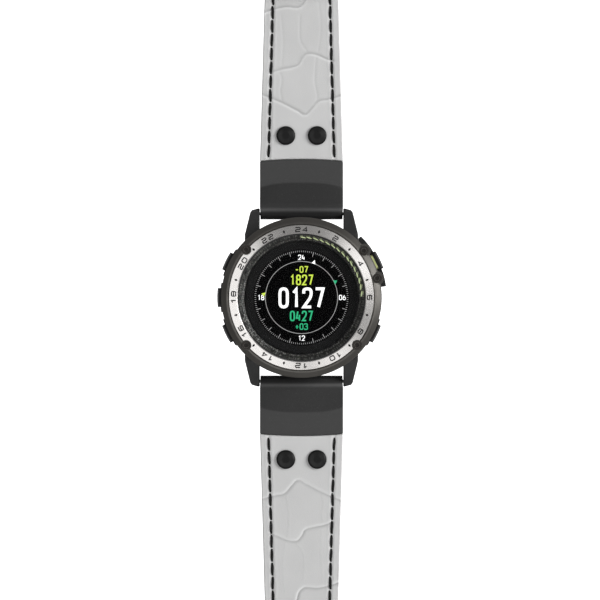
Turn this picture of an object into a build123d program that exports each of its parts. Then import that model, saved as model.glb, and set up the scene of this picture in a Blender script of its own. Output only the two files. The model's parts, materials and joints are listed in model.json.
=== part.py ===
from build123d import *
import os
from math import cos, radians, sin

# A golf GPS watch: a round case with a fixed 24-hour ring, five push buttons and a two-piece leather
# strap on rubber end links. Millimetres. The origin is on the dial axis, on the flat face of the sensor
# window. +Z points out of the dial, +Y to 12 o'clock, +X to 3 o'clock.

os.makedirs("parts", exist_ok=True)

# ---- Driving dimensions ----------------------------------------------------------------------------

# Fits
fit = 0.05             # gap round a piece that is pressed, glued or clamped in its seat
slip = 0.08            # radial gap round a stem, bar or pin that turns or slides
air = 0.30             # gap beside a moving piece that nothing guides
seam = 0.02            # gap between faces that are glued or rolled together
past = 1.0             # how far a cutting tool runs past the face that it opens

# Case, from the rim inwards
bezel_radius = 25.0    # rim of the outer bezel
bezel_overhang = 0.8   # how far the bezel stands out over the mid case
bezel_band = 2.5       # bezel outside the hour ring
hour_ring_width = 2.6
crystal_gasket_width = 0.5
slope_width = 2.0      # the textured inner ring, seen from above
case_wall = 4.0
ledge_width = 3.7      # seat of the rear cover, inside the case wall

# Case, from the back upwards
sensor_bump = 1.2      # the sensor window stands this far below the rear cover
cover_thick = 1.4
cover_proud = 0.2      # the rear cover stands this far below the mid case
ledge_thick = 1.4
case_height = 10.6     # mid case, bottom face to top face
case_turn_in = 2.6     # how far the case's side turns in at the back
bezel_height = 4.8
bezel_slope = 1.1      # fall of the bezel's top face towards its rim
hour_ring_thick = 1.4
hour_ring_fall = 0.6   # fall of the hour ring's face towards the bezel
crystal_thick = 1.8
crystal_recess = 0.8   # crystal face below the hour ring's inner edge
crystal_chamfer = 0.25
groove_width = 0.8     # grooves for the bezel gasket and the rear gasket
groove_inset = 0.5     # groove's inner edge from the wall beside it
bezel_gasket_depth = 0.4
rear_gasket_depth = 0.6

# Back
window_radius = 9.0
window_face = 7.4      # radius of the window's flat resting face
window_rim = 1.6       # width of the window's rim, round the sensor
window_floor = 1.2
sensor_ring = 4.2      # outer light sensors from the middle one
sensor_eye = 2.0
contact_count = 4
contact_pitch = 2.6
contact_offset = 4.0   # contacts beyond the window's rim
contact_radius = 0.7
contact_margin = 1.5   # pocket round the contacts
contact_pocket = 0.4

# Inside
board_thick = 0.8
battery_size = (22.0, 28.0, 3.0)
motor_radius = 3.5
motor_height = 3.0
motor_wall = 0.3
motor_pin_radius = 0.35
weight_radius = 2.7
weight_hub_radius = 1.0
frame_wall = 1.0
web_thick = 0.8
holder_thick = 1.0
holder_floor = 0.3     # the display rests on this much of its holder
holder_lip = 1.0       # holder under the display's rim
panel_thick = 1.8
antenna_thick = 0.6
antenna_gap = 1.2
switch_depth = 2.0
switch_height = 1.6
switch_width = 3.2
plunger_radius = 0.6
plunger_reach = 0.4

# Screws
screw_head_radius = 1.4
screw_head_height = 1.4
head_room = 0.2        # gap round a screw head in its counterbore
screw_shank_radius = 0.7
screw_grip = 3.0       # shank length in the piece that it holds
hex_width = 1.5
bezel_screw_rise = 3.2 # seat of a bezel screw's head above the mid case's top
ear_screw_rise = 2.6
bezel_screw_angles = (139.2, 220.8, 319.4)
bezel_screw_inset = 2.25 # screw axes inside the bezel's rim
ear_angles = (14.3, 36.9)
ear_inset = 0.75       # ear screw axis inside the bezel's rim
ear_radius = 2.1
ear_drop = 0.8         # ear top below the bezel's crest
cover_screw_head_radius = 1.0
cover_screw_head_height = 0.6
cover_screw_shank_radius = 0.6
cover_screw_sunk = 0.1 # head below the cover's face
cover_screw_inset = 1.2 # cover screw axes inside the case cavity's wall
cover_screw_angles = (45, 135, 225, 315)
screw_slot = (1.2, 0.3)

# Buttons
button_angles = {"light": 154.0, "up": 180.0, "down": 206.0, "start": 26.0, "back": 334.0}
stem_radius = 1.0
seal_depth = 0.3       # depth of the stem's grooves, for the seal and the clip
seal_length = 0.7
sleeve_wall = 0.5
clip_radius = 1.9
clip_thick = 0.3
clip_mouth = 0.9
spring_radius = 1.75   # outer radius of the coil
spring_wire = 0.3
spring_turns = 3.5
cap_width = 6.0
cap_gap = 0.15         # room between the cap and the bezel over it
cap_margin = 0.47      # cap edge above and below the stem's sleeve
cap_reach = 1.3        # cap face outside the bezel's rim
cap_depth = 1.5        # cap, back face to front face
cap_corner = 0.9
cap_edge = 0.2
cap_chamfer = 0.5
travel = 0.8
boss_half_angle = 10.5
boss_reach = 0.4       # boss outside the bezel's rim
well_gap = 0.15        # room round the spring in its well
spring_well = 1.5      # depth of the spring's well below the cap's pocket
pocket_depth = 1.1     # cap's pocket inside the bezel's rim
boss_drop = 5.4        # bottom of the boss below the mid case's top
start_cap_width = 5.9
start_reach = 2.2
trim_depth = 0.8
trim_width = 4.8
guard_reach = 1.6
guard_span = (7.5, 46.0)
guard_gap = (17.5, 34.5)
guard_height = 6.0
column_radius = 1.8    # the guard's two screw columns
guard_bridge = 1.1     # bar that joins the guard's two horns under the button

# Strap
strap_width = 26.0
buckle_width = 22.0    # strap width at the buckle bar
lug_reach = 3.0        # lug tip beyond the bezel's rim
lug_root_width = 4.65  # lug width where it leaves the case
lug_tip_width = 3.0
lug_edge = 0.4
pin_reach = 1.2        # spring bar axis beyond the bezel's rim
pin_height = 4.9
pin_radius = 0.9
pin_tip_radius = 0.5
pin_tip_length = 0.9
knuckle_radius = 2.3
crest = (1.5, 8.1)     # end link's highest line: beyond the pin, height
link_length = 16.4     # pin axis to the corners of the link's outer end
link_bulge = 0.6
link_flat_start = 10.2 # where the link's fall ends, beyond the pin
strap_low = 1.5        # underside of the lining
lining_thick = 1.2
leather_thick = 2.6
leather_tip_thick = 2.0
tongue_thick = 1.0
tongue_length = 12.2
tongue_margin = 2.4    # leather left beside the link's tongue
rivet_offset = 8.0     # rivets beyond the link's outer corners
rivet_spacing = 9.8
rivet_head_radius = 2.95
rivet_head_height = 1.2
rivet_post_radius = 1.4
burr_radius = 2.6
burr_thick = 0.6
bar_reach = 71.4       # buckle bar beyond the link's outer corners
tail_reach = 113.4     # strap's pointed end beyond the link's outer corners
tail_point = 13.0
hole_start = 54.9      # first tongue hole beyond the link's outer corners
hole_pitch = 6.5
hole_radius = 1.3
hole_count = 7
bar_height = 3.4
bar_radius = 0.95
bar_tip_radius = 0.65
tongue_loop = 0.85     # wall of the tongue's loop round the bar
loop_radius = 1.85     # leather rolled round the buckle bar
slot_width = 3.2
slot_length = 7.5
buckle_arm = 2.6
buckle_thick = 3.6
buckle_reach = 15.5    # buckle's front face beyond the bar
buckle_front = 3.4
buckle_edge = 0.6
tongue_pin_width = 2.2
tongue_pin_thick = 1.6
tongue_edge = 0.3
keeper_length = 6.0
keeper_thick = 1.1
keeper_free = 4.4      # room over the strap inside a keeper
fixed_keeper_back = 7.5 # fixed keeper's middle behind the buckle bar
loose_keeper_back = 15.5
keeper_slide = 12.0    # how far the loose keeper slides towards the case

# ---- Levels and radii worked out from them ---------------------------------------------------------

cover_low = sensor_bump
cover_top = cover_low + cover_thick
case_low = cover_low + cover_proud
ledge_top = cover_top + ledge_thick
case_top = case_low + case_height
bezel_top = case_top + bezel_height
ring_top = bezel_top + 0.5 * hour_ring_thick
ring_seat = ring_top - hour_ring_thick
crystal_top = ring_top - crystal_recess
crystal_low = crystal_top - crystal_thick

case_radius = bezel_radius - bezel_overhang
ring_outer = bezel_radius - bezel_band
ring_inner = ring_outer - hour_ring_width
crystal_radius = ring_inner - crystal_gasket_width
slope_inner = ring_inner - slope_width - fit
panel_radius = slope_inner - air
cavity_radius = case_radius - case_wall
ledge_inner = cavity_radius - ledge_width
cover_radius = cavity_radius + 0.1 * case_wall

frame_outer = cavity_radius - air
frame_inner = frame_outer - frame_wall
battery_low = ledge_top + 4 * fit
web_low = battery_low + max(battery_size[2], motor_height) + 4 * fit
board_low = web_low + web_thick
board_top = board_low + board_thick
board_radius = frame_inner - 4 * fit
holder_low = case_top - holder_thick - 2 * fit
holder_top = holder_low + holder_thick
panel_low = holder_low + holder_floor
slope_low = holder_top + antenna_thick + 2 * fit
slope_top = crystal_low - 2 * fit

sleeve_radius = stem_radius + slip + sleeve_wall
cap_height = 2 * (sleeve_radius + cap_margin)
button_height = case_top - cap_gap - cap_height / 2
pocket_floor = bezel_radius - pocket_depth
cap_back = bezel_radius + cap_reach - cap_depth
stem_end = frame_inner + travel - 2 * fit
sleeve_in = cavity_radius - 2 * fit
sleeve_out = pocket_floor - spring_well
clip_out = sleeve_in - 3 * fit
switch_face = stem_end - travel - fit

pin_y = bezel_radius + pin_reach
lug_gap = strap_width / 2 + fit
link_end = pin_y + link_length
leather_low = strap_low + lining_thick
leather_top = leather_low + leather_thick
tip_top = leather_low + leather_tip_thick
tongue_low = leather_low
bar_y = link_end + bar_reach
rivet_y = link_end + rivet_offset
tail_y = link_end + tail_reach

# ---- Shapes ----------------------------------------------------------------------------------------

BASE = (Align.CENTER, Align.CENTER, Align.MIN)
CORNER = (Align.MIN, Align.MIN, Align.MIN)


def drum(radius, low, high):
    """A cylinder standing on the dial axis."""
    return Pos(0, 0, low) * Cylinder(radius, high - low, align=BASE)


def ring(outer, inner, low, high):
    """A plain ring on the dial axis."""
    return drum(outer, low, high) - drum(inner, low - past, high + past)


def lathe(outline):
    """A solid turned about the dial axis from (radius, height) points."""
    return revolve(Plane.XZ * make_face(Polyline(*outline, close=True)), Axis.Z)


def block(low, high):
    """A box between two opposite corners."""
    return Pos(*low) * Box(*[b - a for a, b in zip(low, high)], align=CORNER)


def side_profile(outline, half_width):
    """A (y, z) outline extruded both ways along X."""
    return extrude(Plane.YZ * make_face(Polyline(*outline, close=True)), amount=half_width, both=True)


def plan(edges, low, high):
    """A closed plan outline extruded upwards."""
    return Pos(0, 0, low) * extrude(make_face(edges), amount=high - low)


def rod_x(radius, start, end, y=0.0, z=0.0):
    """A cylinder along X."""
    return Pos(start, y, z) * Rot(0, 90, 0) * Cylinder(radius, end - start, align=BASE)


def post(radius, x, y, low, high):
    """A cylinder along Z away from the dial axis."""
    return Pos(x, y, low) * Cylinder(radius, high - low, align=BASE)


def polar(radius, angle):
    """Plan position at a radius and an angle from 3 o'clock."""
    return radius * cos(radians(angle)), radius * sin(radians(angle))


def wedge(angle_low, angle_high, reach, low, high):
    """A sector of a drum between two angles, less than half a turn apart."""
    middle = (angle_low + angle_high) / 2
    far = reach / cos(radians(angle_high - angle_low) / 2)
    corners = [(0, 0), polar(far, angle_low), polar(far * 1.1, middle), polar(far, angle_high)]
    return Pos(0, 0, low) * extrude(make_face(Polyline(*corners, close=True)), amount=high - low)


def at_button(name, piece):
    """Turn a piece built along +X round to its button."""
    return Rot(0, 0, button_angles[name]) * piece


def mirrored_strap(piece):
    """The lower strap is the upper one turned half round the dial axis."""
    return Rot(0, 0, 180) * piece


def save(name, *solids):
    """Write one node. Several solids in a node stay separate."""
    shape = solids[0] if len(solids) == 1 else Compound(children=list(solids))
    export_step(shape, "parts/" + name + ".step")


# ---- Screws ----------------------------------------------------------------------------------------

bezel_screw_places = [
    (polar(bezel_radius - bezel_screw_inset, a), case_top + bezel_screw_rise) for a in bezel_screw_angles]
ear_places = [(polar(bezel_radius - ear_inset, a), case_top + ear_screw_rise) for a in ear_angles]
screw_places = bezel_screw_places + ear_places
cover_screw_places = [polar(cavity_radius - cover_screw_inset, a) for a in cover_screw_angles]


def socket_screw(x, y, seat):
    """A socket head screw, head up, seated at a height."""
    head = post(screw_head_radius, x, y, seat, seat + screw_head_height)
    shank = post(screw_shank_radius, x, y, case_top - screw_grip, seat)
    hexagon = extrude(RegularPolygon(hex_width / 2, 6, major_radius=False), amount=screw_head_height)
    socket = Pos(x, y, seat + 0.5 * screw_head_height) * hexagon
    return head + shank - socket


def screw_hole(x, y):
    """Clearance for a shank, right through the bezel and into what it holds."""
    return post(screw_shank_radius + fit, x, y, case_top - screw_grip - air, bezel_top)


def counterbore(x, y, seat, room=head_room):
    """Room for a screw head, open at the top."""
    return post(screw_head_radius + room, x, y, seat, ring_top + past)


save("bezel_screws", *[socket_screw(*xy, seat) for xy, seat in screw_places])


cover_screw_seat = cover_low + cover_screw_sunk + cover_screw_head_height


def cover_screw(x, y):
    """A small screw, head down, through the rear cover into the ledge."""
    head = post(cover_screw_head_radius, x, y, cover_low + cover_screw_sunk, cover_screw_seat)
    shank = post(cover_screw_shank_radius, x, y, cover_screw_seat, ledge_top - 2 * fit)
    slot = Pos(x, y, cover_low) * Box(*screw_slot, cover_screw_head_height)
    return head + shank - slot


save("rear_cover_screws", *[cover_screw(x, y) for x, y in cover_screw_places])

# ---- Mid case with lugs ----------------------------------------------------------------------------

lug_tip = bezel_radius + lug_reach
lug_low = 1.6


def lug():
    """The 12 o'clock lug on the +X side, its root buried in the case."""
    side = [
        (0.5 * case_radius, case_low),
        (0.9 * case_radius, case_low),
        (lug_tip - 2.2, lug_low),
        (lug_tip - 0.5, lug_low + 0.6),
        (lug_tip, lug_low + 1.6),
        (lug_tip, pin_height + 1.4),
        (lug_tip - 1.3, pin_height + 2.9),
        (lug_tip - 4.2, pin_height + 4.9),
        (lug_tip - 8.0, case_top),
        (0.5 * case_radius, case_top),
    ]
    inside = lug_gap
    top = [
        (inside, 0.5 * case_radius),
        (inside + lug_root_width, 0.5 * case_radius),
        (inside + lug_root_width, lug_tip - 8.4),
        (inside + lug_tip_width, lug_tip - 1.5),
        (inside + lug_tip_width - 0.5, lug_tip - 0.7),
        (inside, lug_tip),
    ]
    blank = side_profile(side, 2 * strap_width) & plan(Polyline(*top, close=True), 0, case_top)
    return fillet(blank.edges(), lug_edge)


one_lug = lug()
other_lug = mirror(one_lug, Plane.YZ)
lug_pair = [one_lug, other_lug]
lugs = lug_pair + [mirror(piece, Plane.XZ) for piece in lug_pair]

boss_outer = bezel_radius + boss_reach
bosses = []
for name, angle in button_angles.items():
    if name != "start":
        sector = wedge(angle - boss_half_angle, angle + boss_half_angle, boss_outer + past,
                       case_top - boss_drop, case_top)
        bosses.append(sector & ring(boss_outer, cavity_radius + 1, case_top - boss_drop, case_top))

case_blank = lathe([
    (0, case_low),
    (case_radius - case_turn_in, case_low),
    (case_radius - 0.3 * case_turn_in, case_low + 0.6 * case_turn_in),
    (case_radius, case_low + 1.3 * case_turn_in),
    (case_radius, case_top),
    (0, case_top),
])
mid_case = case_blank
for piece in lugs + bosses:
    mid_case += piece
mid_case -= drum(ledge_inner, case_low - past, case_top + past)
mid_case -= drum(cavity_radius, ledge_top, case_top + past)
mid_case -= drum(cover_radius + fit, case_low - past, cover_top)

# Groove for the bezel gasket, in the top face, and for the rear gasket, in the ledge
bezel_gasket_radii = (cavity_radius + groove_inset + groove_width, cavity_radius + groove_inset)
mid_case -= ring(*bezel_gasket_radii, case_top - bezel_gasket_depth, case_top + past)
rear_gasket_radii = (ledge_inner + groove_inset + groove_width, ledge_inner + groove_inset)
mid_case -= ring(*rear_gasket_radii, cover_top - past, cover_top + rear_gasket_depth)

for x, y in cover_screw_places:
    mid_case -= post(cover_screw_shank_radius + fit, x, y, cover_low, ledge_top - fit)
for (x, y), _ in bezel_screw_places:
    mid_case -= screw_hole(x, y)

# Room for the end links: round the knuckle and below it
knuckle_room = knuckle_radius + air + fit
for side in (1, -1):
    mid_case -= rod_x(knuckle_room, -lug_gap, lug_gap, side * pin_y, pin_height)
    mid_case -= block((-lug_gap, min(side * (pin_y - knuckle_room), side * (lug_tip + past)), 0),
                      (lug_gap, max(side * (pin_y - knuckle_room), side * (lug_tip + past)), pin_height))
    tip = lug_gap + pin_tip_length + air
    mid_case -= rod_x(pin_tip_radius + fit, -tip, tip, side * pin_y, pin_height)

# Pockets and sleeve holes for the buttons
for name in button_angles:
    width = (start_cap_width if name == "start" else cap_width) + 2 * air
    low = button_height - cap_height / 2 - air
    pocket = block((pocket_floor, -width / 2, low), (boss_outer + past, width / 2, case_top + past))
    well = rod_x(spring_radius + well_gap, sleeve_out, pocket_floor + past, z=button_height)
    bore = rod_x(sleeve_radius + seam, cavity_radius - past, sleeve_out + past, z=button_height)
    mid_case -= at_button(name, pocket + well + bore)

# ---- Start button guard ----------------------------------------------------------------------------

guard_low = case_top - guard_height
guard_outer = bezel_radius + guard_reach
guard_inner = case_radius + fit
guard = ring(guard_outer, guard_inner, guard_low, case_top - fit)
guard &= wedge(*guard_span, guard_outer + past, guard_low, case_top)
guard -= wedge(*guard_gap, guard_outer + past, guard_low + guard_bridge, case_top)
for (x, y), _ in ear_places:
    guard += post(column_radius, x, y, guard_low, case_top - fit)
    mid_case -= post(column_radius + fit, x, y, guard_low - fit, case_top + past)
for (x, y), _ in ear_places:
    guard -= screw_hole(x, y)
guard -= block((0, 0, 0), (lug_gap + lug_root_width + fit, guard_outer + past, case_top))
save("mid_case", mid_case)
save("start_button_guard", guard)

# ---- Outer bezel, hour ring, crystal ---------------------------------------------------------------

bezel = lathe([
    (ring_inner, case_top),
    (bezel_radius, case_top),
    (bezel_radius, bezel_top - bezel_slope - 0.3),
    (bezel_radius - 0.3, bezel_top - bezel_slope),
    (ring_outer + 0.9, bezel_top - 0.15),
    (ring_outer + 0.45, bezel_top),
    (ring_outer + fit, bezel_top - 0.35),
    (ring_outer + fit, ring_seat),
    (ring_inner, ring_seat),
])
ear_top = bezel_top - ear_drop
for (x, y), _ in ear_places:
    bezel += post(ear_radius, x, y, case_top, ear_top)
for (x, y), seat in screw_places:
    bezel -= screw_hole(x, y)
    bezel -= counterbore(x, y, seat)
save("outer_bezel", bezel)

hour_ring = lathe([
    (ring_inner, ring_seat),
    (ring_outer, ring_seat),
    (ring_outer, ring_top - hour_ring_fall),
    (ring_inner + 0.25, ring_top),
    (ring_inner, ring_top - 0.2),
])
for (x, y), seat in bezel_screw_places:
    hour_ring -= counterbore(x, y, seat, head_room + fit)
save("hour_ring", hour_ring)

save("bezel_gasket", ring(bezel_gasket_radii[0] - fit, bezel_gasket_radii[1] + fit,
                          case_top - bezel_gasket_depth + fit, case_top - fit))
save("crystal_gasket", ring(ring_inner - seam, crystal_radius + seam, crystal_low, crystal_top))
save("crystal", lathe([
    (0, crystal_low),
    (crystal_radius, crystal_low),
    (crystal_radius, crystal_top - crystal_chamfer),
    (crystal_radius - crystal_chamfer, crystal_top),
    (0, crystal_top),
]))
save("inner_ring", lathe([
    (slope_inner, slope_low),
    (ring_inner - fit, slope_low),
    (ring_inner - fit, slope_top),
    (crystal_radius, slope_top),
    (slope_inner, slope_low + 0.6),
]))

# ---- Rear cover, sensor and contacts ---------------------------------------------------------------

contact_xs = [contact_pitch * (index - (contact_count - 1) / 2) for index in range(contact_count)]
contact_y = -window_radius - contact_offset
rear_cover = drum(cover_radius, cover_low, cover_top)
rear_cover -= drum(window_radius + fit, cover_low - past, cover_top + past)
rear_cover -= block((contact_xs[0] - contact_margin, contact_y - contact_margin, cover_low - past),
                    (contact_xs[-1] + contact_margin, contact_y + contact_margin, cover_low + contact_pocket))
for x in contact_xs:
    rear_cover -= post(contact_radius + fit, x, contact_y, cover_low, cover_top + past)
for x, y in cover_screw_places:
    rear_cover -= post(cover_screw_head_radius + 2 * fit, x, y, cover_low - past, cover_screw_seat)
    rear_cover -= post(cover_screw_shank_radius + fit, x, y, cover_low, cover_top + past)
save("rear_cover", rear_cover)
save("charging_contacts", *[
    post(contact_radius, x, contact_y, cover_low + 0.4 * contact_pocket, ledge_top - 2 * contact_pocket)
    for x in contact_xs])

rear_gasket = ring(rear_gasket_radii[0] - fit, rear_gasket_radii[1] + fit,
                   cover_top + fit, cover_top + rear_gasket_depth - fit)
save("rear_gasket", rear_gasket)

window = lathe([
    (0, 0),
    (window_face, 0),
    (window_radius, sensor_bump),
    (window_radius, cover_top),
    (window_radius - window_rim, cover_top),
    (window_radius - window_rim, window_floor),
    (0, window_floor),
])
save("sensor_window", window)

sensor_board = drum(window_radius - 0.3 * window_rim, cover_top + fit, cover_top + board_thick)
for x, y in ((0, 0), (sensor_ring, 0), (-sensor_ring, 0), (0, sensor_ring), (0, -sensor_ring)):
    eye = Box(sensor_eye, sensor_eye, cover_top - window_floor - sensor_eye / 4)
    sensor_board += Pos(x, y, (cover_top + window_floor) / 2 + sensor_eye / 8 + fit) * eye
save("sensor_board", sensor_board)

# ---- Inner frame, boards, battery, display ---------------------------------------------------------

motor_x = frame_inner - motor_radius - 0.2
motor_low = web_low - fit - motor_height

relief_half = clip_radius + air
inner_frame = ring(frame_outer, frame_inner, battery_low, holder_low - fit)
inner_frame += drum(frame_inner + 0.1, web_low, web_low + web_thick)
inner_frame -= block((-4.0, -5.0, web_low - past), (4.0, -1.0, board_low + past))
for name in button_angles:
    relief = block((frame_inner - past, -relief_half, board_top), (frame_outer + past, relief_half, case_top))
    clip_room = block((frame_inner - air, -relief_half, button_height - relief_half),
                      (frame_outer + past, relief_half, case_top))
    inner_frame -= at_button(name, relief + clip_room)
save("inner_frame", inner_frame)

battery_x, battery_y, battery_z = battery_size
battery = block((-battery_x / 2, -battery_y / 2, battery_low),
                (battery_x / 2, battery_y / 2, battery_low + battery_z))
save("battery", fillet(battery.edges().filter_by(Axis.Z), 1.5))

board = drum(board_radius, board_low + fit, board_top)
chips = ((0, 6, 9, 7, 0.9), (-8, -2, 5, 5, 0.8), (6, -6, 6, 4, 0.7), (-3, -9, 4, 3, 0.6), (9, 4, 3, 5, 0.6))
for x, y, length, width, height in chips:
    board += Pos(x, y, board_top) * Box(length, width, height, align=BASE)
save("main_board", board)

switches = []
for name in button_angles:
    body = block((switch_face - switch_depth, -switch_width / 2, board_top + fit),
                 (switch_face - plunger_reach, switch_width / 2, board_top + switch_height))
    plunger = rod_x(plunger_radius, switch_face - plunger_reach - fit, switch_face,
                    z=board_top + switch_height - plunger_radius - fit)
    switches.append(at_button(name, body + plunger))
save("button_switches", *switches)

holder = ring(frame_outer, panel_radius - holder_lip, holder_low, holder_top)
holder -= drum(panel_radius + fit, panel_low, holder_top + past)
for name in button_angles:
    clip_path = block((frame_inner - air, -relief_half, 0), (frame_outer + past, relief_half, case_top))
    holder -= at_button(name, clip_path)
save("display_holder", holder)
save("display_panel", drum(panel_radius, panel_low + fit, panel_low + panel_thick))
antenna = ring(frame_outer - 2 * fit, panel_radius + 2 * air, holder_top + seam, holder_top + antenna_thick)
antenna -= block((0, -antenna_gap / 2, holder_low), (frame_outer + past, antenna_gap / 2, case_top + past))
save("gps_antenna", antenna)

# ---- Vibration motor -------------------------------------------------------------------------------

motor_top = motor_low + motor_height
can = post(motor_radius, 0, 0, motor_low, motor_top)
can -= post(motor_radius - motor_wall, 0, 0, motor_low + motor_wall, motor_top - motor_wall)
can += post(motor_pin_radius, 0, 0, motor_low, motor_top)
wire_slot = 0.5        # half width of the slot that the motor's wires leave by
can -= block((-motor_radius - past, -wire_slot, motor_low + motor_wall),
             (-motor_radius + 2 * motor_wall, wire_slot, motor_low + motor_wall + 2 * wire_slot))
save("vibration_motor", Pos(motor_x, 0, 0) * can)

weight_gap = motor_wall + air
half_disc = post(weight_radius, 0, 0, motor_low + weight_gap, motor_top - weight_gap)
half_disc -= block((-weight_radius, -weight_radius, motor_low), (0, weight_radius, motor_top))
weight = half_disc + post(weight_hub_radius, 0, 0, motor_low + weight_gap, motor_top - weight_gap)
weight -= post(motor_pin_radius + slip, 0, 0, motor_low, motor_top)
save("vibration_weight", Pos(motor_x, 0, 0) * Rot(0, 0, 180) * weight)

# ---- Buttons ---------------------------------------------------------------------------------------

seal_start = (sleeve_in + sleeve_out) / 2


def stem(outer_end):
    """The stem with its seal groove and its clip groove."""
    shaft = rod_x(stem_radius, stem_end, outer_end, z=button_height)
    shaft -= tube_x(stem_radius + past, stem_radius - seal_depth, seal_start - fit,
                    seal_start + seal_length + fit)
    shaft -= tube_x(stem_radius + past, stem_radius - seal_depth, clip_out - clip_thick - seam,
                    clip_out + seam)
    return shaft


def tube_x(outer, inner, start, end):
    """A ring whose axis is the button's."""
    return rod_x(outer, start, end, z=button_height) - rod_x(inner, start - past, end + past, z=button_height)


def head_blank(back, depth, width):
    """A rounded plate across the button's axis, built along +X."""
    outline = Plane.YZ * RectangleRounded(width, cap_height, cap_corner)
    return Pos(back, 0, button_height) * extrude(outline, amount=depth)


def cap(back, front, width):
    """A button head, flat behind and curved in front, built along +X."""
    low = button_height - cap_height
    high = button_height + cap_height
    shell = lathe([
        (0, low),
        (front - cap_chamfer, low),
        (front - cap_chamfer, button_height - cap_height / 2),
        (front, button_height - cap_height / 4),
        (front, button_height + cap_height / 4),
        (front - cap_chamfer, button_height + cap_height / 2),
        (front - cap_chamfer, high),
        (0, high),
    ])
    head = head_blank(back, 2 * cap_depth + start_reach, width) & shell
    return fillet(head.edges().group_by(Axis.X)[-1], cap_edge)


def coil_spring():
    """A compression spring round the stem, from the sleeve to the cap."""
    start = sleeve_out + fit + spring_wire / 2
    end = cap_back - fit - spring_wire / 2
    length = end - start
    mean = spring_radius - spring_wire / 2
    helix = Helix(pitch=length / spring_turns, height=length, radius=mean)
    wire = sweep(Plane(helix @ 0, z_dir=helix % 0) * Circle(spring_wire / 2), path=helix, is_frenet=True)
    return Pos(start, 0, button_height) * Rot(0, 90, 0) * wire


def clip():
    """An open retaining ring in the stem's inner groove."""
    plate = tube_x(clip_radius, stem_radius - seal_depth + seam, clip_out - clip_thick, clip_out)
    mouth = block((clip_out - past, -clip_mouth / 2, 0), (clip_out + past, clip_mouth / 2, button_height))
    return plate - mouth


for name in button_angles:
    if name == "start":
        trim_front = cap_back + trim_depth
        button = cap(trim_front, bezel_radius + start_reach, start_cap_width) + stem(trim_front + fit)
        plate = head_blank(cap_back, trim_depth - seam, trim_width)
        plate -= rod_x(stem_radius + seam, 0, 2 * bezel_radius, z=button_height)
        save("start_button_trim", at_button(name, plate))
    else:
        button = cap(cap_back, bezel_radius + cap_reach, cap_width) + stem(cap_back + fit)
    save(name + "_button", at_button(name, button))
    seal = tube_x(stem_radius + slip - seam, stem_radius - seal_depth + seam, seal_start,
                  seal_start + seal_length)
    save(name + "_button_seal", at_button(name, seal))
    save(name + "_button_spring", at_button(name, coil_spring()))
    save(name + "_button_clip", at_button(name, clip()))

sleeve = tube_x(sleeve_radius, stem_radius + slip, sleeve_in, sleeve_out)
save("button_sleeves", *[at_button(name, sleeve) for name in button_angles])

# ---- Spring bars and end links ---------------------------------------------------------------------

bar_half = strap_width / 2 - 0.1


def spring_bar():
    """The bar that holds a strap between two lugs."""
    tip = lug_gap + pin_tip_length
    body = rod_x(pin_radius, -bar_half, bar_half, pin_y, pin_height)
    return body + rod_x(pin_tip_radius, -tip, tip, pin_y, pin_height)


save("spring_bars", spring_bar(), mirrored_strap(spring_bar()))

tongue_half = strap_width / 2 - tongue_margin
knuckle_half = strap_width / 2 - 0.15


def sagitta_arc(half, y, bulge):
    """A shallow arc across the strap, from +X to -X, bulging towards the strap's end."""
    return ThreePointArc((half, y), (0, y + bulge), (-half, y))


def end_link():
    """The rubber link between the spring bar and the leather."""
    crest_y = pin_y + crest[0]
    flat_y = pin_y + link_flat_start
    side = [
        (pin_y - 1.2, pin_height + 1.9),
        (crest_y - 0.9, crest[1] - 0.3),
        (crest_y, crest[1]),
        (crest_y + 1.4, crest[1] - 0.2),
        (flat_y, leather_top + 0.5),
        (link_end + link_bulge, leather_top + 0.2),
        (link_end + link_bulge, strap_low),
        (flat_y, strap_low + 0.1),
        (pin_y, pin_height - knuckle_radius),
    ]
    outer = side_profile(side, strap_width)
    ends = Polyline((-strap_width / 2, link_end), (-strap_width / 2, lug_tip + 0.3),
                    (-knuckle_half, lug_tip + 0.3), (-knuckle_half, pin_y - 2 * knuckle_radius),
                    (knuckle_half, pin_y - 2 * knuckle_radius), (knuckle_half, lug_tip + 0.3),
                    (strap_width / 2, lug_tip + 0.3), (strap_width / 2, link_end))
    outline = plan([ends, sagitta_arc(strap_width / 2, link_end, link_bulge)], 0, crest[1] + past)
    body = (outer & outline) + rod_x(knuckle_radius, -knuckle_half, knuckle_half, pin_y, pin_height)
    body += block((-tongue_half, link_end - 2, tongue_low + fit),
                  (tongue_half, link_end + tongue_length, tongue_low + tongue_thick - fit))
    body -= rod_x(pin_radius + slip, -strap_width, strap_width, pin_y, pin_height)
    for x in (-rivet_spacing / 2, rivet_spacing / 2):
        body -= post(rivet_post_radius + fit, x, rivet_y, 0, leather_top)
    return body


save("upper_end_link", end_link())
save("lower_end_link", mirrored_strap(end_link()))

# ---- Leather, lining, rivets -----------------------------------------------------------------------

taper = (strap_width - buckle_width) / 2 / bar_reach


def half_width(y):
    """Half the strap's width, narrowing from the end link to the buckle bar."""
    return max(strap_width / 2 - taper * (y - link_end), buckle_width / 2 - 1.5)


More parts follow.
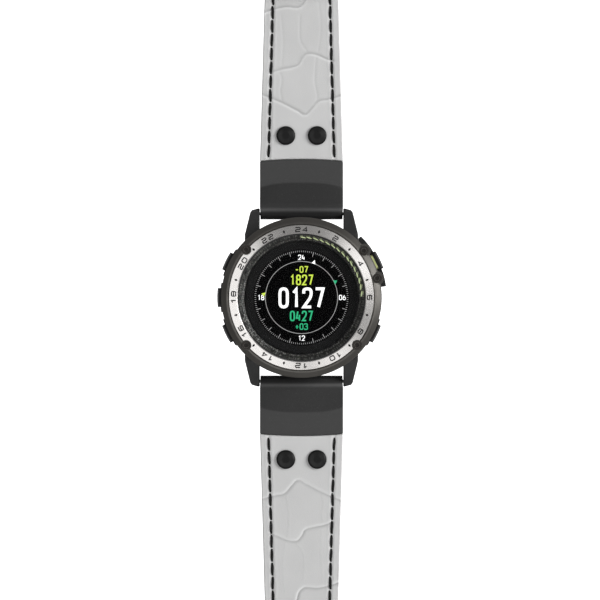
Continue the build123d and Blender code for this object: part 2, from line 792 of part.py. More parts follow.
def strap_blank(end_y, point, low, high_near, high_far):
    """A strap layer from the end link to an end that is square or pointed."""
    near = half_width(link_end)
    shoulder = end_y - point
    far = half_width(shoulder)
    sides = Polyline((-near, link_end + fit), (-far, shoulder))
    other = Polyline((far, shoulder), (near, link_end + fit))
    if point > 0:
        tip = Polyline((-far, shoulder), (-0.62 * far, end_y - 0.35 * point), (-0.2 * far, end_y),
                       (0.2 * far, end_y), (0.62 * far, end_y - 0.35 * point), (far, shoulder))
    else:
        tip = Polyline((-far, shoulder), (far, shoulder))
    start = sagitta_arc(near, link_end + fit, link_bulge)
    outline = plan([sides, tip, other, start], low - past, high_near + past)
    near_y = link_end - past
    far_y = end_y + past
    side = [(near_y, low), (far_y, low), (far_y, high_far), (near_y, high_near)]
    return outline & side_profile(side, strap_width)


def leather(end_y, point):
    """The outer leather, hollowed for the end link's tongue."""
    sheet = strap_blank(end_y, point, leather_low, leather_top, tip_top)
    sheet -= block((-tongue_half - fit, link_end - past, leather_low - past),
                   (tongue_half + fit, link_end + tongue_length + air, tongue_low + tongue_thick))
    return sheet


def rivet_holes(piece):
    """Two holes across the strap for the rivets."""
    for x in (-rivet_spacing / 2, rivet_spacing / 2):
        piece -= post(rivet_post_radius + fit, x, rivet_y, 0, leather_top + past)
    return piece


rivet_seat = leather_top - (leather_thick - leather_tip_thick) * rivet_offset / tail_reach


def rivets():
    """Two domed rivets and the burrs that they are closed over."""
    solids = []
    dome_rise = rivet_head_height
    for x in (-rivet_spacing / 2, rivet_spacing / 2):
        head = Pos(x, rivet_y, 0) * lathe([
            (0, rivet_seat + fit),
            (rivet_head_radius, rivet_seat + fit),
            (rivet_head_radius, rivet_seat + 0.4 * dome_rise),
            (0.8 * rivet_head_radius, rivet_seat + 0.8 * dome_rise),
            (0.4 * rivet_head_radius, rivet_seat + dome_rise),
            (0, rivet_seat + dome_rise),
        ])
        shank = post(rivet_post_radius, x, rivet_y, strap_low - burr_thick, rivet_seat + 0.3)
        burr = post(burr_radius, x, rivet_y, strap_low - burr_thick, strap_low - fit)
        burr -= post(rivet_post_radius + fit, x, rivet_y, 0, leather_top)
        solids += [head + shank, burr]
    return solids


def half_turn_all(solids):
    """The same solids on the lower strap."""
    return [mirrored_strap(piece) for piece in solids]


upper_leather = leather(bar_y - 0.4 * loop_radius, 0)
upper_leather += rod_x(loop_radius, -buckle_width / 2, buckle_width / 2, bar_y, bar_height)
upper_leather -= rod_x(bar_radius + slip, -strap_width, strap_width, bar_y, bar_height)
tongue_slot = block((-slot_width / 2, bar_y - slot_length + 2 * loop_radius, 0),
                    (slot_width / 2, bar_y + past + loop_radius, leather_top + past))
upper_leather -= tongue_slot
save("upper_leather", rivet_holes(upper_leather))
lining_top = leather_low - seam
upper_lining = strap_blank(bar_y - loop_radius - air, 0, strap_low, lining_top, lining_top) - tongue_slot
save("upper_lining", rivet_holes(upper_lining))
save("upper_rivets", *rivets())


def tongue_holes(piece):
    """The row of holes that the buckle's tongue goes through."""
    for index in range(hole_count):
        piece -= post(hole_radius, 0, link_end + hole_start + index * hole_pitch, 0, leather_top + past)
    return piece


lower_leather = tongue_holes(rivet_holes(leather(tail_y, tail_point)))
lower_lining = tongue_holes(rivet_holes(
    strap_blank(tail_y, tail_point, strap_low, lining_top, lining_top)))
save("lower_leather", mirrored_strap(lower_leather))
save("lower_lining", mirrored_strap(lower_lining))
save("lower_rivets", *half_turn_all(rivets()))

# ---- Buckle ----------------------------------------------------------------------------------------

buckle_in = buckle_width / 2 + air
buckle_out = buckle_in + buckle_arm
buckle_low = bar_height - buckle_thick / 2 - 0.6
buckle_front_y = bar_y + buckle_reach

frame_plan = Polyline((-buckle_out, bar_y - 2.2), (-buckle_out, buckle_front_y - 3.5),
                      (-buckle_out + 3.0, buckle_front_y), (buckle_out - 3.0, buckle_front_y),
                      (buckle_out, buckle_front_y - 3.5), (buckle_out, bar_y - 2.2), close=True)
frame_side = [
    (bar_y - 2.2, bar_height - 1.6),
    (bar_y - 2.2, bar_height + 1.2),
    (bar_y + 2.0, bar_height + 1.9),
    (buckle_front_y - buckle_front, bar_height + 2.2),
    (buckle_front_y - 0.6, bar_height + 1.6),
    (buckle_front_y, bar_height + 0.6),
    (buckle_front_y, buckle_low + 0.6),
    (buckle_front_y - 0.8, buckle_low),
    (bar_y + 2.5, buckle_low),
]
buckle_sky = 2 * bar_height
buckle = plan(frame_plan, 0, buckle_sky) & side_profile(frame_side, buckle_out)
buckle -= block((-buckle_in, bar_y - buckle_arm - past, 0),
                (buckle_in, buckle_front_y - buckle_front, buckle_sky))
buckle = fillet(buckle.edges(), buckle_edge)
bar_tip = buckle_in + 0.8 * buckle_arm
buckle -= rod_x(bar_tip_radius + fit, -bar_tip - fit, bar_tip + fit, bar_y, bar_height)
tongue_seat = bar_height + 1.25
buckle -= block((-tongue_pin_width / 2 - air, buckle_front_y - buckle_front - past, tongue_seat - fit),
                (tongue_pin_width / 2 + air, buckle_front_y + past, buckle_sky))
save("buckle_frame", buckle)

buckle_bar = rod_x(bar_radius, -buckle_in + fit, buckle_in - fit, bar_y, bar_height)
buckle_bar += rod_x(bar_tip_radius, -bar_tip, bar_tip, bar_y, bar_height)
save("buckle_bar", buckle_bar)

pin_top = tongue_seat + tongue_pin_thick
loop_outer = bar_radius + slip + tongue_loop
pin_half = tongue_pin_width / 2
tongue_blank = side_profile([
    (bar_y, bar_height + 0.5),
    (bar_y, bar_height + loop_outer),
    (bar_y + 3.0, pin_top),
    (buckle_front_y - 0.4, pin_top),
    (buckle_front_y + 0.6, pin_top - 0.6),
    (buckle_front_y + 0.6, tongue_seat + 0.2),
    (buckle_front_y, tongue_seat),
    (bar_y + 3.2, tongue_seat),
    (bar_y + 1.6, bar_height + 0.3),
], pin_half)
tongue_blank = fillet(tongue_blank.edges(), tongue_edge)
buckle_tongue = tongue_blank + rod_x(loop_outer, -pin_half, pin_half, bar_y, bar_height)
buckle_tongue -= rod_x(bar_radius + slip, -strap_width, strap_width, bar_y, bar_height)
save("buckle_tongue", buckle_tongue)

# ---- Keepers ---------------------------------------------------------------------------------------


def strap_top(y):
    """Height of the leather's face."""
    share = (y - link_end) / (bar_y - link_end)
    return leather_top + (tip_top - leather_top) * share


def keeper(middle_y, narrowest_y):
    """A leather band round the strap, wide enough for the strap at one place."""
    inner_half = half_width(narrowest_y) + 0.25
    low = strap_low - 0.1
    high = strap_top(narrowest_y) + keeper_free
    start = middle_y - keeper_length / 2
    end = middle_y + keeper_length / 2
    band = block((-inner_half - keeper_thick, start, low - keeper_thick),
                 (inner_half + keeper_thick, end, high + keeper_thick))
    band = fillet(band.edges().filter_by(Axis.Y), 1.4)
    hole = block((-inner_half, start - past, low), (inner_half, end + past, high))
    return band - fillet(hole.edges().filter_by(Axis.Y), 0.5)


fixed_y = bar_y - fixed_keeper_back
loose_y = bar_y - loose_keeper_back
save("fixed_keeper", keeper(fixed_y, fixed_y - keeper_length / 2))
save("loose_keeper", keeper(loose_y, loose_y - keeper_slide - keeper_length / 2))

print("pin axis y", pin_y, "z", pin_height, "buckle bar y", bar_y, "z", bar_height)
print("button axis z", button_height, "cap back", cap_back, "stem end", stem_end, "switch", switch_face)
print("motor axis x", motor_x, "levels", case_top, bezel_top, ring_top, crystal_top)
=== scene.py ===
# %% [markdown]
# # A golf GPS watch on an embossed leather strap
#
# The watch lies on its back with its strap laid out straight. Its metal, rubber, leather and glass are
# separate pieces. The cells below set up the light, then the finishes, then one kind of piece after another.
#
# Their shapes are right, so they only get better materials. The soft pieces, the woven ring, the button
# springs, the stitching and the dial's printing are modelled here.

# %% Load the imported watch
import bpy
import bmesh
import json
import numpy as np
from math import atan, atan2, cos, exp, hypot, pi, radians, sin, sqrt, tan
from mathutils import Matrix, Vector, noise


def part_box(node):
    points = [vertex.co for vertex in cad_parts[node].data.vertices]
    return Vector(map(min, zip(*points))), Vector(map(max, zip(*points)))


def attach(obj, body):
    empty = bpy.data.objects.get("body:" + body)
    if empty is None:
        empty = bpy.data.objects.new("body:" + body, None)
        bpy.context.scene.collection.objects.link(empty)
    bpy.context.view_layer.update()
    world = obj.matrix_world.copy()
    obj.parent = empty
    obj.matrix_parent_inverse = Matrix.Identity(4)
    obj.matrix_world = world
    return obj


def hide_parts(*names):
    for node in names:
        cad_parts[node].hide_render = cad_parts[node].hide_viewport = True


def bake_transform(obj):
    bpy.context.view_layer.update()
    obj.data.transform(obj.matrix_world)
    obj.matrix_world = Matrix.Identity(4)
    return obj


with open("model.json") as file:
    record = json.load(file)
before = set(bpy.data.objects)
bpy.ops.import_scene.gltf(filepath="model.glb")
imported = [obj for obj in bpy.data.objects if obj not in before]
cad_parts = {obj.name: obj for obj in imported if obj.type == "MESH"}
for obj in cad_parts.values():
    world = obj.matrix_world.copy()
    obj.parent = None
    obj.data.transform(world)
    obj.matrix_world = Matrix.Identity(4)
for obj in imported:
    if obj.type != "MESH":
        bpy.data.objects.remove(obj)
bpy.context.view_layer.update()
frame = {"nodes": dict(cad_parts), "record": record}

# %% [markdown]
# ## Measures
#
# Blender's own unit is the metre, and a watch is easier to think about in millimetres. So the sizes of the
# watch are in millimetres, and one number turns them into metres when a mesh is made. The room's floor and
# lights are large, and stay in metres. Most places come from the CAD nodes' boxes, so that the pieces follow
# a change in the CAD model.

# %% Millimetres, and the CAD boxes in them
MM = 0.001


def box_mm(node):
    """Lowest and highest corner of a CAD node in millimetres."""
    low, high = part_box(node)
    return [value / MM for value in low], [value / MM for value in high]


lining_low, lining_high = box_mm("upper_lining")
leather_low, leather_high = box_mm("upper_leather")
tail_low, _ = box_mm("lower_leather")
link_low, link_high = box_mm("upper_end_link")
bar_low, bar_high = box_mm("buckle_bar")
pin_low, pin_high = box_mm("spring_bars")
_, panel_high = box_mm("display_panel")
rivet_low, rivet_high = box_mm("upper_rivets")

fit = 0.05
strap_half = leather_high[0]
link_end = leather_low[1] - fit
bar_y = (bar_low[1] + bar_high[1]) / 2
bar_z = (bar_low[2] + bar_high[2]) / 2
tail_y = -tail_low[1]
tail_point = 13.0
under_leather = tail_low[2]
leather_top = round(leather_high[2], 1)
tip_top = leather_top - 0.6
pin_radius = 0.9
pin_y = pin_high[1] - pin_radius
pin_z = (pin_low[2] + pin_high[2]) / 2
rivet_y = (rivet_low[1] + rivet_high[1]) / 2
print("strap", 2 * strap_half, "wide, link ends at", link_end, "bar at", bar_y, "tail at", tail_y)

# %% [markdown]
# ## Making meshes
#
# Most of the modelled pieces are lofts: a row of closed outlines with the same number of points, joined by
# quads. It is the way a strap is really shaped, because its section hardly changes along its length. A mesh
# made from lists of points is exact, and it can be made again with other sizes at any time.

# %% Turn points and faces into a piece of the watch
finishes = {}


def cleaned(mesh):
    """Merges points that coincide, and cuts faces of many sides into triangles, because a curved face of many
    sides leaves gaps when a solid is cut out of it."""
    tidy = bmesh.new()
    tidy.from_mesh(mesh)
    bmesh.ops.remove_doubles(tidy, verts=tidy.verts, dist=0.002 * MM)
    bmesh.ops.dissolve_degenerate(tidy, edges=tidy.edges, dist=0.001 * MM)
    bmesh.ops.triangulate(tidy, faces=[face for face in tidy.faces if len(face.verts) > 4])
    bmesh.ops.recalc_face_normals(tidy, faces=tidy.faces)
    tidy.to_mesh(mesh)
    tidy.free()


def turned(point, half_turn):
    """The same point on the lower strap, which is the upper one turned half round the dial axis."""
    x, y, z = point
    return (-x, -y, z) if half_turn else (x, y, z)


def new_piece(name, points, faces, slot, body, stands_for=(), half_turn=False, crisp=40):
    """A mesh piece with clean faces and smooth shading up to an angle."""
    mesh = bpy.data.meshes.new(name)
    scaled = [[value * MM for value in turned(point, half_turn)] for point in points]
    mesh.from_pydata(scaled, [], faces)
    cleaned(mesh)
    mesh.shade_smooth()
    mesh.set_sharp_from_angle(angle=radians(crisp))
    mesh.materials.append(finishes[slot])
    piece = bpy.data.objects.new(name, mesh)
    bpy.context.scene.collection.objects.link(piece)
    if isinstance(body, str):
        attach(piece, body)
    else:
        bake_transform(piece)
    if stands_for:
        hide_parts(*stands_for)
    print(name, len(mesh.vertices), "vertices")
    return piece


def loft(loops, ring=False):
    """Points and faces of a skin over closed loops. With ring the last loop joins the first."""
    size = len(loops[0])
    points = [point for loop in loops for point in loop]
    faces = []
    for row in range(len(loops) if ring else len(loops) - 1):
        here = row * size
        there = (row + 1) % len(loops) * size
        for k in range(size):
            after = (k + 1) % size
            faces.append((here + k, here + after, there + after, there + k))
    if not ring:
        faces.append(tuple(range(size)))
        faces.append(tuple(range(len(points) - size, len(points))))
    return points, faces


def joined(parts):
    """Several (points, faces) pairs as one."""
    points, faces = [], []
    for some_points, some_faces in parts:
        shift = len(points)
        points += some_points
        faces += [tuple(index + shift for index in face) for face in some_faces]
    return points, faces


# %% Round the corners of an outline
def rounded(corners, steps=6, closed=True):
    """An outline with a soft corner at each (a, b, radius)."""
    path = []
    count = len(corners)
    for k, (a, b, radius) in enumerate(corners):
        at_end = not closed and k in (0, count - 1)
        if radius <= 0 or at_end:
            path.append((a, b))
            continue
        before = corners[k - 1]
        after = corners[(k + 1) % count]
        legs = []
        for other in (before, after):
            run = hypot(other[0] - a, other[1] - b)
            share = min(radius, 0.48 * run) / run
            legs.append((a + (other[0] - a) * share, b + (other[1] - b) * share))
        for step in range(steps + 1):
            t = step / steps
            from_first, from_corner, from_last = (1 - t) ** 2, 2 * t * (1 - t), t * t
            path.append((legs[0][0] * from_first + a * from_corner + legs[1][0] * from_last,
                         legs[0][1] * from_first + b * from_corner + legs[1][1] * from_last))
    return path


def shifted(path, distance, closed=False):
    """A path moved sideways, to its left, by the same distance all along."""
    moved = []
    count = len(path)
    for k in range(count):
        before = path[k - 1] if closed or k > 0 else None
        after = path[(k + 1) % count] if closed or k < count - 1 else None
        runs = []
        for start, end in ((before, path[k]), (path[k], after)):
            if start is None or end is None:
                continue
            length = hypot(end[0] - start[0], end[1] - start[1])
            if length > 1e-9:
                runs.append(((end[0] - start[0]) / length, (end[1] - start[1]) / length))
        side = [sum(-run[1] for run in runs), sum(run[0] for run in runs)]
        length = hypot(*side)
        reach = distance * min(2.0, len(runs) / length) if length > 1e-9 else 0
        moved.append((path[k][0] + side[0] / max(length, 1e-9) * reach,
                      path[k][1] + side[1] / max(length, 1e-9) * reach))
    return moved


# %% [markdown]
# ## Camera, floor and light
#
# The watch is looked at from straight above, through a long lens, which keeps its circles round and shows
# almost no perspective. The light is that of a small product studio: a pale floor, six soft boxes and a dim
# pale room. The polished rings need the boxes for another reason as well. A metal ring has hardly any colour
# of its own, and shows where the bright boxes stand.
#
# The watch hangs well above the floor, because a strap that folds down at its hinge needs the room. Floor
# and room look plain white to the camera alone. To the watch they stay dim, so that its blacks stay black.
# The floor is clear from underneath, so that the back of the watch can be looked at too.

# %% Camera
scene = bpy.context.scene
scene.view_settings.view_transform = "Standard"
field = 186.6
lens = 400.0
film = 36.0
view_level = panel_high[2] + 2.5
view_centre = (-0.47, -0.78)
distance = field / 2 / tan(atan(film / 2 / lens))
camera_data = bpy.data.cameras.new("long_lens")
camera_data.lens = lens
camera_data.sensor_width = film
camera_data.clip_start = 0.01
camera = bpy.data.objects.new("camera", camera_data)
camera.location = (view_centre[0] * MM, view_centre[1] * MM, (view_level + distance) * MM)
scene.collection.objects.link(camera)
scene.camera = camera
print("camera", round(distance), "mm above the dial")

# %% Floor
floor_half = 3.0
longest_strap = tail_y - pin_y
floor_level = -1.1 * longest_strap * MM
floor_corners = []
for x, y in ((-1, -1), (1, -1), (1, 1), (-1, 1)):
    floor_corners.append((x * floor_half, y * floor_half, floor_level))
floor_mesh = bpy.data.meshes.new("studio_floor")
floor_mesh.from_pydata(floor_corners, [], [(0, 1, 2, 3)])
floor = bpy.data.objects.new("studio_floor", floor_mesh)
scene.collection.objects.link(floor)
floor_paint = bpy.data.materials.new("floor_paint")
floor_paint.use_nodes = True
floor_shader = floor_paint.node_tree.nodes["Principled BSDF"]
floor_shader.inputs["Base Color"].default_value = (0.93, 0.93, 0.93, 1)
floor_shader.inputs["Roughness"].default_value = 0.9
floor_shader.inputs["Specular IOR Level"].default_value = 0.1
floor_shader.inputs["Emission Color"].default_value = (1, 1, 1, 1)
seen_by = floor_paint.node_tree.nodes.new("ShaderNodeLightPath")
floor_paint.node_tree.links.new(seen_by.outputs["Is Camera Ray"], floor_shader.inputs["Emission Strength"])
side_seen = floor_paint.node_tree.nodes.new("ShaderNodeNewGeometry")
only_from_above = floor_paint.node_tree.nodes.new("ShaderNodeMath")
only_from_above.operation = "SUBTRACT"
only_from_above.inputs[0].default_value = 1.0
floor_paint.node_tree.links.new(side_seen.outputs["Backfacing"], only_from_above.inputs[1])
floor_paint.node_tree.links.new(only_from_above.outputs[0], floor_shader.inputs["Alpha"])
floor_mesh.materials.append(floor_paint)
print("floor", round(floor_level / MM), "mm below the watch")


# %% Soft boxes and the room
box_distance = 1.0


def soft_box(name, azimuth, off_vertical, width, height, power):
    """A rectangular light that faces the watch. Angles in degrees, sizes in metres, power in watts."""
    light = bpy.data.lights.new(name, "AREA")
    light.shape = "RECTANGLE"
    light.size = width
    light.size_y = height
    light.energy = power
    lamp = bpy.data.objects.new(name, light)
    out = box_distance * sin(radians(off_vertical))
    up = box_distance * cos(radians(off_vertical))
    spot = Vector((out * cos(radians(azimuth)), out * sin(radians(azimuth)), up))
    lamp.location = spot
    lamp.rotation_euler = spot.to_track_quat("Z", "Y").to_euler()
    scene.collection.objects.link(lamp)
    print(name, "at", [round(value, 2) for value in spot])


soft_box("box_right", 34, 30, 0.34, 0.42, 0.42)
soft_box("box_left", 222, 31, 1.0, 0.34, 1.35)
soft_box("box_side", 152, 29, 0.4, 0.38, 0.55)
soft_box("box_foot", 301, 31, 0.36, 0.3, 0.42)
soft_box("box_key", 14, 56, 0.6, 0.5, 7.8)
soft_box("box_low", 262, 54, 0.8, 0.6, 0.6)

dim_strength = 0.26
room = bpy.data.worlds.new("pale_room")
room.use_nodes = True
room_light = room.node_tree.nodes["Background"]
room_light.inputs["Color"].default_value = (0.9, 0.9, 0.9, 1)
seen_directly = room.node_tree.nodes.new("ShaderNodeLightPath")
brighter = room.node_tree.nodes.new("ShaderNodeMath")
brighter.operation = "ADD"
brighter.inputs[1].default_value = dim_strength
room.node_tree.links.new(seen_directly.outputs["Is Camera Ray"], brighter.inputs[0])
room.node_tree.links.new(brighter.outputs[0], room_light.inputs["Strength"])
scene.world = room

# %% [markdown]
# ## Effects that several finishes share
#
# A real surface is never one flat colour. Cast metal has a fine grain, turned metal has circular lines, a
# coating wears pale at its sharp edges, where a highlight is painted too, and dust settles everywhere. Each
# of these is a node group here, built once with named inputs. A finish places the group and gives it its own
# sizes.
#
# Every group starts from a point on the piece in millimetres, so that "0.4" means 0.4 mm on the watch.


# %% Start a node group
def effect(name, inputs, outputs):
    """A node group with named sockets. Gives the group and its two end nodes."""
    group = bpy.data.node_groups.new(name, "ShaderNodeTree")
    for label, kind, value in inputs:
        socket = group.interface.new_socket(label, in_out="INPUT", socket_type="NodeSocket" + kind)
        if value is not None:
            socket.default_value = value
    for label, kind in outputs:
        group.interface.new_socket(label, in_out="OUTPUT", socket_type="NodeSocket" + kind)
    return group, group.nodes.new("NodeGroupInput"), group.nodes.new("NodeGroupOutput")


def maths(tree, operation, *values):
    """A Math node fed with numbers or with other nodes' outputs. Gives its result."""
    node = tree.nodes.new("ShaderNodeMath")
    node.operation = operation
    for socket, value in zip(node.inputs, values):
        if isinstance(value, (int, float)):
            socket.default_value = value
        else:
            tree.links.new(value, socket)
    return node.outputs[0]


def cloud(tree, point, size, detail=3.0):
    """Smooth noise with blobs of about one size, in the point's own unit."""
    node = tree.nodes.new("ShaderNodeTexNoise")
    node.inputs["Detail"].default_value = detail
    tree.links.new(point, node.inputs["Vector"])
    tree.links.new(maths(tree, "DIVIDE", 1.0, size), node.inputs["Scale"])
    return node.outputs["Fac"]


# %% Grain: the fine roughness of moulded plastic, rubber and blasted metal
grain, start, end = effect(
    "Grain", [("Point", "Vector", None), ("Size", "Float", 0.3), ("Depth", "Float", 0.01)],
    [("Height", "Float"), ("Tone", "Float")])
fine = cloud(grain, start.outputs["Point"], start.outputs["Size"], 4.0)
grain.links.new(maths(grain, "MULTIPLY", fine, start.outputs["Depth"]), end.inputs["Height"])
grain.links.new(fine, end.inputs["Tone"])

# %% Patches: slow changes of colour over a piece
patches, start, end = effect(
    "Patches", [("Point", "Vector", None), ("Size", "Float", 8.0),
                ("Dark", "Color", (0, 0, 0, 1)), ("Light", "Color", (1, 1, 1, 1))],
    [("Color", "Color")])
spread = patches.nodes.new("ShaderNodeMix")
spread.data_type = "RGBA"
slow = cloud(patches, start.outputs["Point"], start.outputs["Size"], 2.0)
patches.links.new(maths(patches, "MULTIPLY_ADD", slow, 2.4, -0.7), spread.inputs["Factor"])
patches.links.new(start.outputs["Dark"], spread.inputs["A"])
patches.links.new(start.outputs["Light"], spread.inputs["B"])
spread.clamp_factor = True
patches.links.new(spread.outputs["Result"], end.inputs["Color"])

# %% Worn edges with a painted highlight: a coating made bright along sharp edges
worn_and_highlit_edge_group, start, end = effect(
    "Edge wear", [("Point", "Vector", None), ("Amount", "Float", 0.5), ("Patch size", "Float", 1.5)],
    [("Mask", "Float")])
soft_edge = worn_and_highlit_edge_group.nodes.new("ShaderNodeBevel")
soft_edge.samples = 4
soft_edge.inputs["Radius"].default_value = 0.22 * MM
flat_face = worn_and_highlit_edge_group.nodes.new("ShaderNodeNewGeometry")
turn = worn_and_highlit_edge_group.nodes.new("ShaderNodeVectorMath")
turn.operation = "DOT_PRODUCT"
worn_and_highlit_edge_group.links.new(soft_edge.outputs["Normal"], turn.inputs[0])
worn_and_highlit_edge_group.links.new(flat_face.outputs["Normal"], turn.inputs[1])
sharpness = maths(worn_and_highlit_edge_group, "MULTIPLY", maths(worn_and_highlit_edge_group, "SUBTRACT", 1.0, turn.outputs["Value"]), 5.0)
spots = cloud(worn_and_highlit_edge_group, start.outputs["Point"], start.outputs["Patch size"], 4.0)
broken = maths(worn_and_highlit_edge_group, "MULTIPLY", sharpness, maths(worn_and_highlit_edge_group, "MULTIPLY_ADD", spots, 3.0, -0.9))
mask = worn_and_highlit_edge_group.nodes.new("ShaderNodeClamp")
worn_and_highlit_edge_group.links.new(maths(worn_and_highlit_edge_group, "MULTIPLY", broken, start.outputs["Amount"]), mask.inputs["Value"])
worn_and_highlit_edge_group.links.new(mask.outputs["Result"], end.inputs["Mask"])

# %% Turned lines: the circular brushing of a turned ring
turning, start, end = effect(
    "Turned lines", [("Point", "Vector", None), ("Line width", "Float", 0.06), ("Depth", "Float", 0.002)],
    [("Height", "Float"), ("Tone", "Float")])
apart = turning.nodes.new("ShaderNodeSeparateXYZ")
turning.links.new(start.outputs["Point"], apart.inputs[0])
radius_node = maths(turning, "SQRT", maths(
    turning, "ADD", maths(turning, "MULTIPLY", apart.outputs["X"], apart.outputs["X"]),
    maths(turning, "MULTIPLY", apart.outputs["Y"], apart.outputs["Y"])))
around = maths(turning, "MULTIPLY", maths(turning, "ARCTAN2", apart.outputs["Y"], apart.outputs["X"]), 0.12)
unrolled = turning.nodes.new("ShaderNodeCombineXYZ")
turning.links.new(radius_node, unrolled.inputs["X"])
turning.links.new(around, unrolled.inputs["Y"])
turning.links.new(apart.outputs["Z"], unrolled.inputs["Z"])
lines = cloud(turning, unrolled.outputs[0], start.outputs["Line width"], 2.0)
turning.links.new(maths(turning, "MULTIPLY", lines, start.outputs["Depth"]), end.inputs["Height"])
turning.links.new(lines, end.inputs["Tone"])

# %% Hide: the pebbles and pores of leather
hide, start, end = effect(
    "Hide", [("Point", "Vector", None), ("Pebble", "Float", 0.5), ("Depth", "Float", 0.02)],
    [("Height", "Float"), ("Tone", "Float")])
warp = cloud(hide, start.outputs["Point"], start.outputs["Pebble"], 2.0)
bent = hide.nodes.new("ShaderNodeVectorMath")
bent.operation = "ADD"
hide.links.new(start.outputs["Point"], bent.inputs[0])
hide.links.new(maths(hide, "MULTIPLY", warp, 0.25), bent.inputs[1])
cells = hide.nodes.new("ShaderNodeTexVoronoi")
cells.feature = "DISTANCE_TO_EDGE"
hide.links.new(bent.outputs["Vector"], cells.inputs["Vector"])
hide.links.new(maths(hide, "DIVIDE", 1.0, start.outputs["Pebble"]), cells.inputs["Scale"])
mound = maths(hide, "MINIMUM", maths(hide, "MULTIPLY", cells.outputs["Distance"], 3.0), 1.0)
pores = cloud(hide, start.outputs["Point"], maths(hide, "MULTIPLY", start.outputs["Pebble"], 0.35), 2.0)
skin = maths(hide, "MULTIPLY_ADD", pores, 0.5, mound)
hide.links.new(maths(hide, "MULTIPLY", skin, start.outputs["Depth"]), end.inputs["Height"])
hide.links.new(maths(hide, "MULTIPLY", skin, 0.66), end.inputs["Tone"])

# %% Dust: small pale specks
dust, start, end = effect(
    "Dust", [("Point", "Vector", None), ("Size", "Float", 0.25), ("Amount", "Float", 0.2)],
    [("Mask", "Float")])
specks = cloud(dust, start.outputs["Point"], start.outputs["Size"], 6.0)
drifts = cloud(dust, start.outputs["Point"], 9.0, 2.0)
settled = maths(dust, "MULTIPLY", maths(dust, "MULTIPLY_ADD", specks, 8.0, -4.7), drifts)
film_of_dust = dust.nodes.new("ShaderNodeClamp")
dust.links.new(settled, film_of_dust.inputs["Value"])
dust_mask = maths(dust, "MULTIPLY", film_of_dust.outputs["Result"], start.outputs["Amount"])
dust.links.new(dust_mask, end.inputs["Mask"])
print("effects", [group.name for group in bpy.data.node_groups])

# %% [markdown]
# ## Finishes
#
# One function sets up every finish, because they are all layers of the same kind: a slowly changing
# colour, a fine relief, worn edges with a painted highlight and a little dust. A finish is then a short list
# of numbers, and such lists are easy to compare. The Principled shader stays in the material, and its plain
# numbers are set on it.


# %% Put a finish together
def place(tree, group, point, **values):
    """A node group in a material, with its inputs set."""
    node = tree.nodes.new("ShaderNodeGroup")
    node.node_tree = group
    tree.links.new(point, node.inputs["Point"])
    for label, value in values.items():
        node.inputs[label.replace("_", " ")].default_value = value
    return node


def mix_color(tree, factor, first, second):
    """One colour painted over another by a mask."""
    node = tree.nodes.new("ShaderNodeMix")
    node.data_type = "RGBA"
    tree.links.new(factor, node.inputs["Factor"])
    for socket, value in (("A", first), ("B", second)):
        if isinstance(value, tuple):
            node.inputs[socket].default_value = value
        else:
            tree.links.new(value, node.inputs[socket])
    return node.outputs["Result"]


def shade(color, factor):
    """A colour made lighter or darker."""
    return tuple(min(1.0, value * factor) for value in color[:3]) + (1.0,)


def finish(slot, color, roughness, metal=0.0, relief="grain", size=0.3, depth=0.01, contrast=0.15,
           patch=9.0, edges=0.0, worn_edge_highlight_color=None, specks=0.0, rough_spread=0.12, **plain):
    """A procedural material. Sizes in millimetres; `plain` sets further sockets of the shader."""
    material = bpy.data.materials.new(slot)
    material.use_nodes = True
    tree = material.node_tree
    shader = tree.nodes["Principled BSDF"]
    where = tree.nodes.new("ShaderNodeTexCoord")
    enlarge = tree.nodes.new("ShaderNodeVectorMath")
    enlarge.operation = "SCALE"
    enlarge.inputs["Scale"].default_value = 1 / MM
    tree.links.new(where.outputs["Object"], enlarge.inputs[0])
    point = enlarge.outputs["Vector"]
    hues = place(tree, patches, point, Size=patch,
                 Dark=shade(color, 1 - contrast), Light=shade(color, 1 + contrast))
    if relief == "turned":
        skin = place(tree, turning, point, Line_width=size, Depth=depth)
    elif relief == "hide":
        skin = place(tree, hide, point, Pebble=size, Depth=depth)
    else:
        skin = place(tree, grain, point, Size=size, Depth=depth)
    coloured = mix_color(tree, maths(tree, "MULTIPLY", skin.outputs["Tone"], 0.5),
                         hues.outputs["Color"], shade(color, 1 + contrast))
    # Sharp edges are painted lighter: partly a worn coating, partly a painted highlight.
    if edges > 0:
        worn_and_highlit_edges = place(tree, worn_and_highlit_edge_group, point, Amount=edges, Patch_size=1.2)
        coloured = mix_color(tree, worn_and_highlit_edges.outputs["Mask"], coloured, worn_edge_highlight_color or shade(color, 3.0))
    if specks > 0:
        dusty = place(tree, dust, point, Amount=specks)
        coloured = mix_color(tree, dusty.outputs["Mask"], coloured, (0.55, 0.54, 0.52, 1))
    tree.links.new(coloured, shader.inputs["Base Color"])
    uneven = maths(tree, "MULTIPLY_ADD", skin.outputs["Tone"], rough_spread, roughness - rough_spread / 2)
    tree.links.new(uneven, shader.inputs["Roughness"])
    bump = tree.nodes.new("ShaderNodeBump")
    bump.inputs["Distance"].default_value = MM
    tree.links.new(skin.outputs["Height"], bump.inputs["Height"])
    tree.links.new(bump.outputs["Normal"], shader.inputs["Normal"])
    shader.inputs["Metallic"].default_value = metal
    for label, value in plain.items():
        shader.inputs[label.replace("_", " ")].default_value = value
    finishes[slot] = material
    return material


# %% Colour a finish by numbers that are stored on a mesh
def stored_value(tree, name):
    """A number stored on the mesh's points, as a node's output."""
    node = tree.nodes.new("ShaderNodeAttribute")
    node.attribute_name = name
    return node.outputs["Fac"]


def base_color(slot):
    """The socket that takes a finish's colour."""
    return finishes[slot].node_tree.nodes["Principled BSDF"].inputs["Base Color"]


def paint_over(slot, mask, color):
    """Paints a colour over a finish's own colour where the mask is bright."""
    tree = finishes[slot].node_tree
    socket = base_color(slot)
    tree.links.new(mix_color(tree, mask, socket.links[0].from_socket, color), socket)


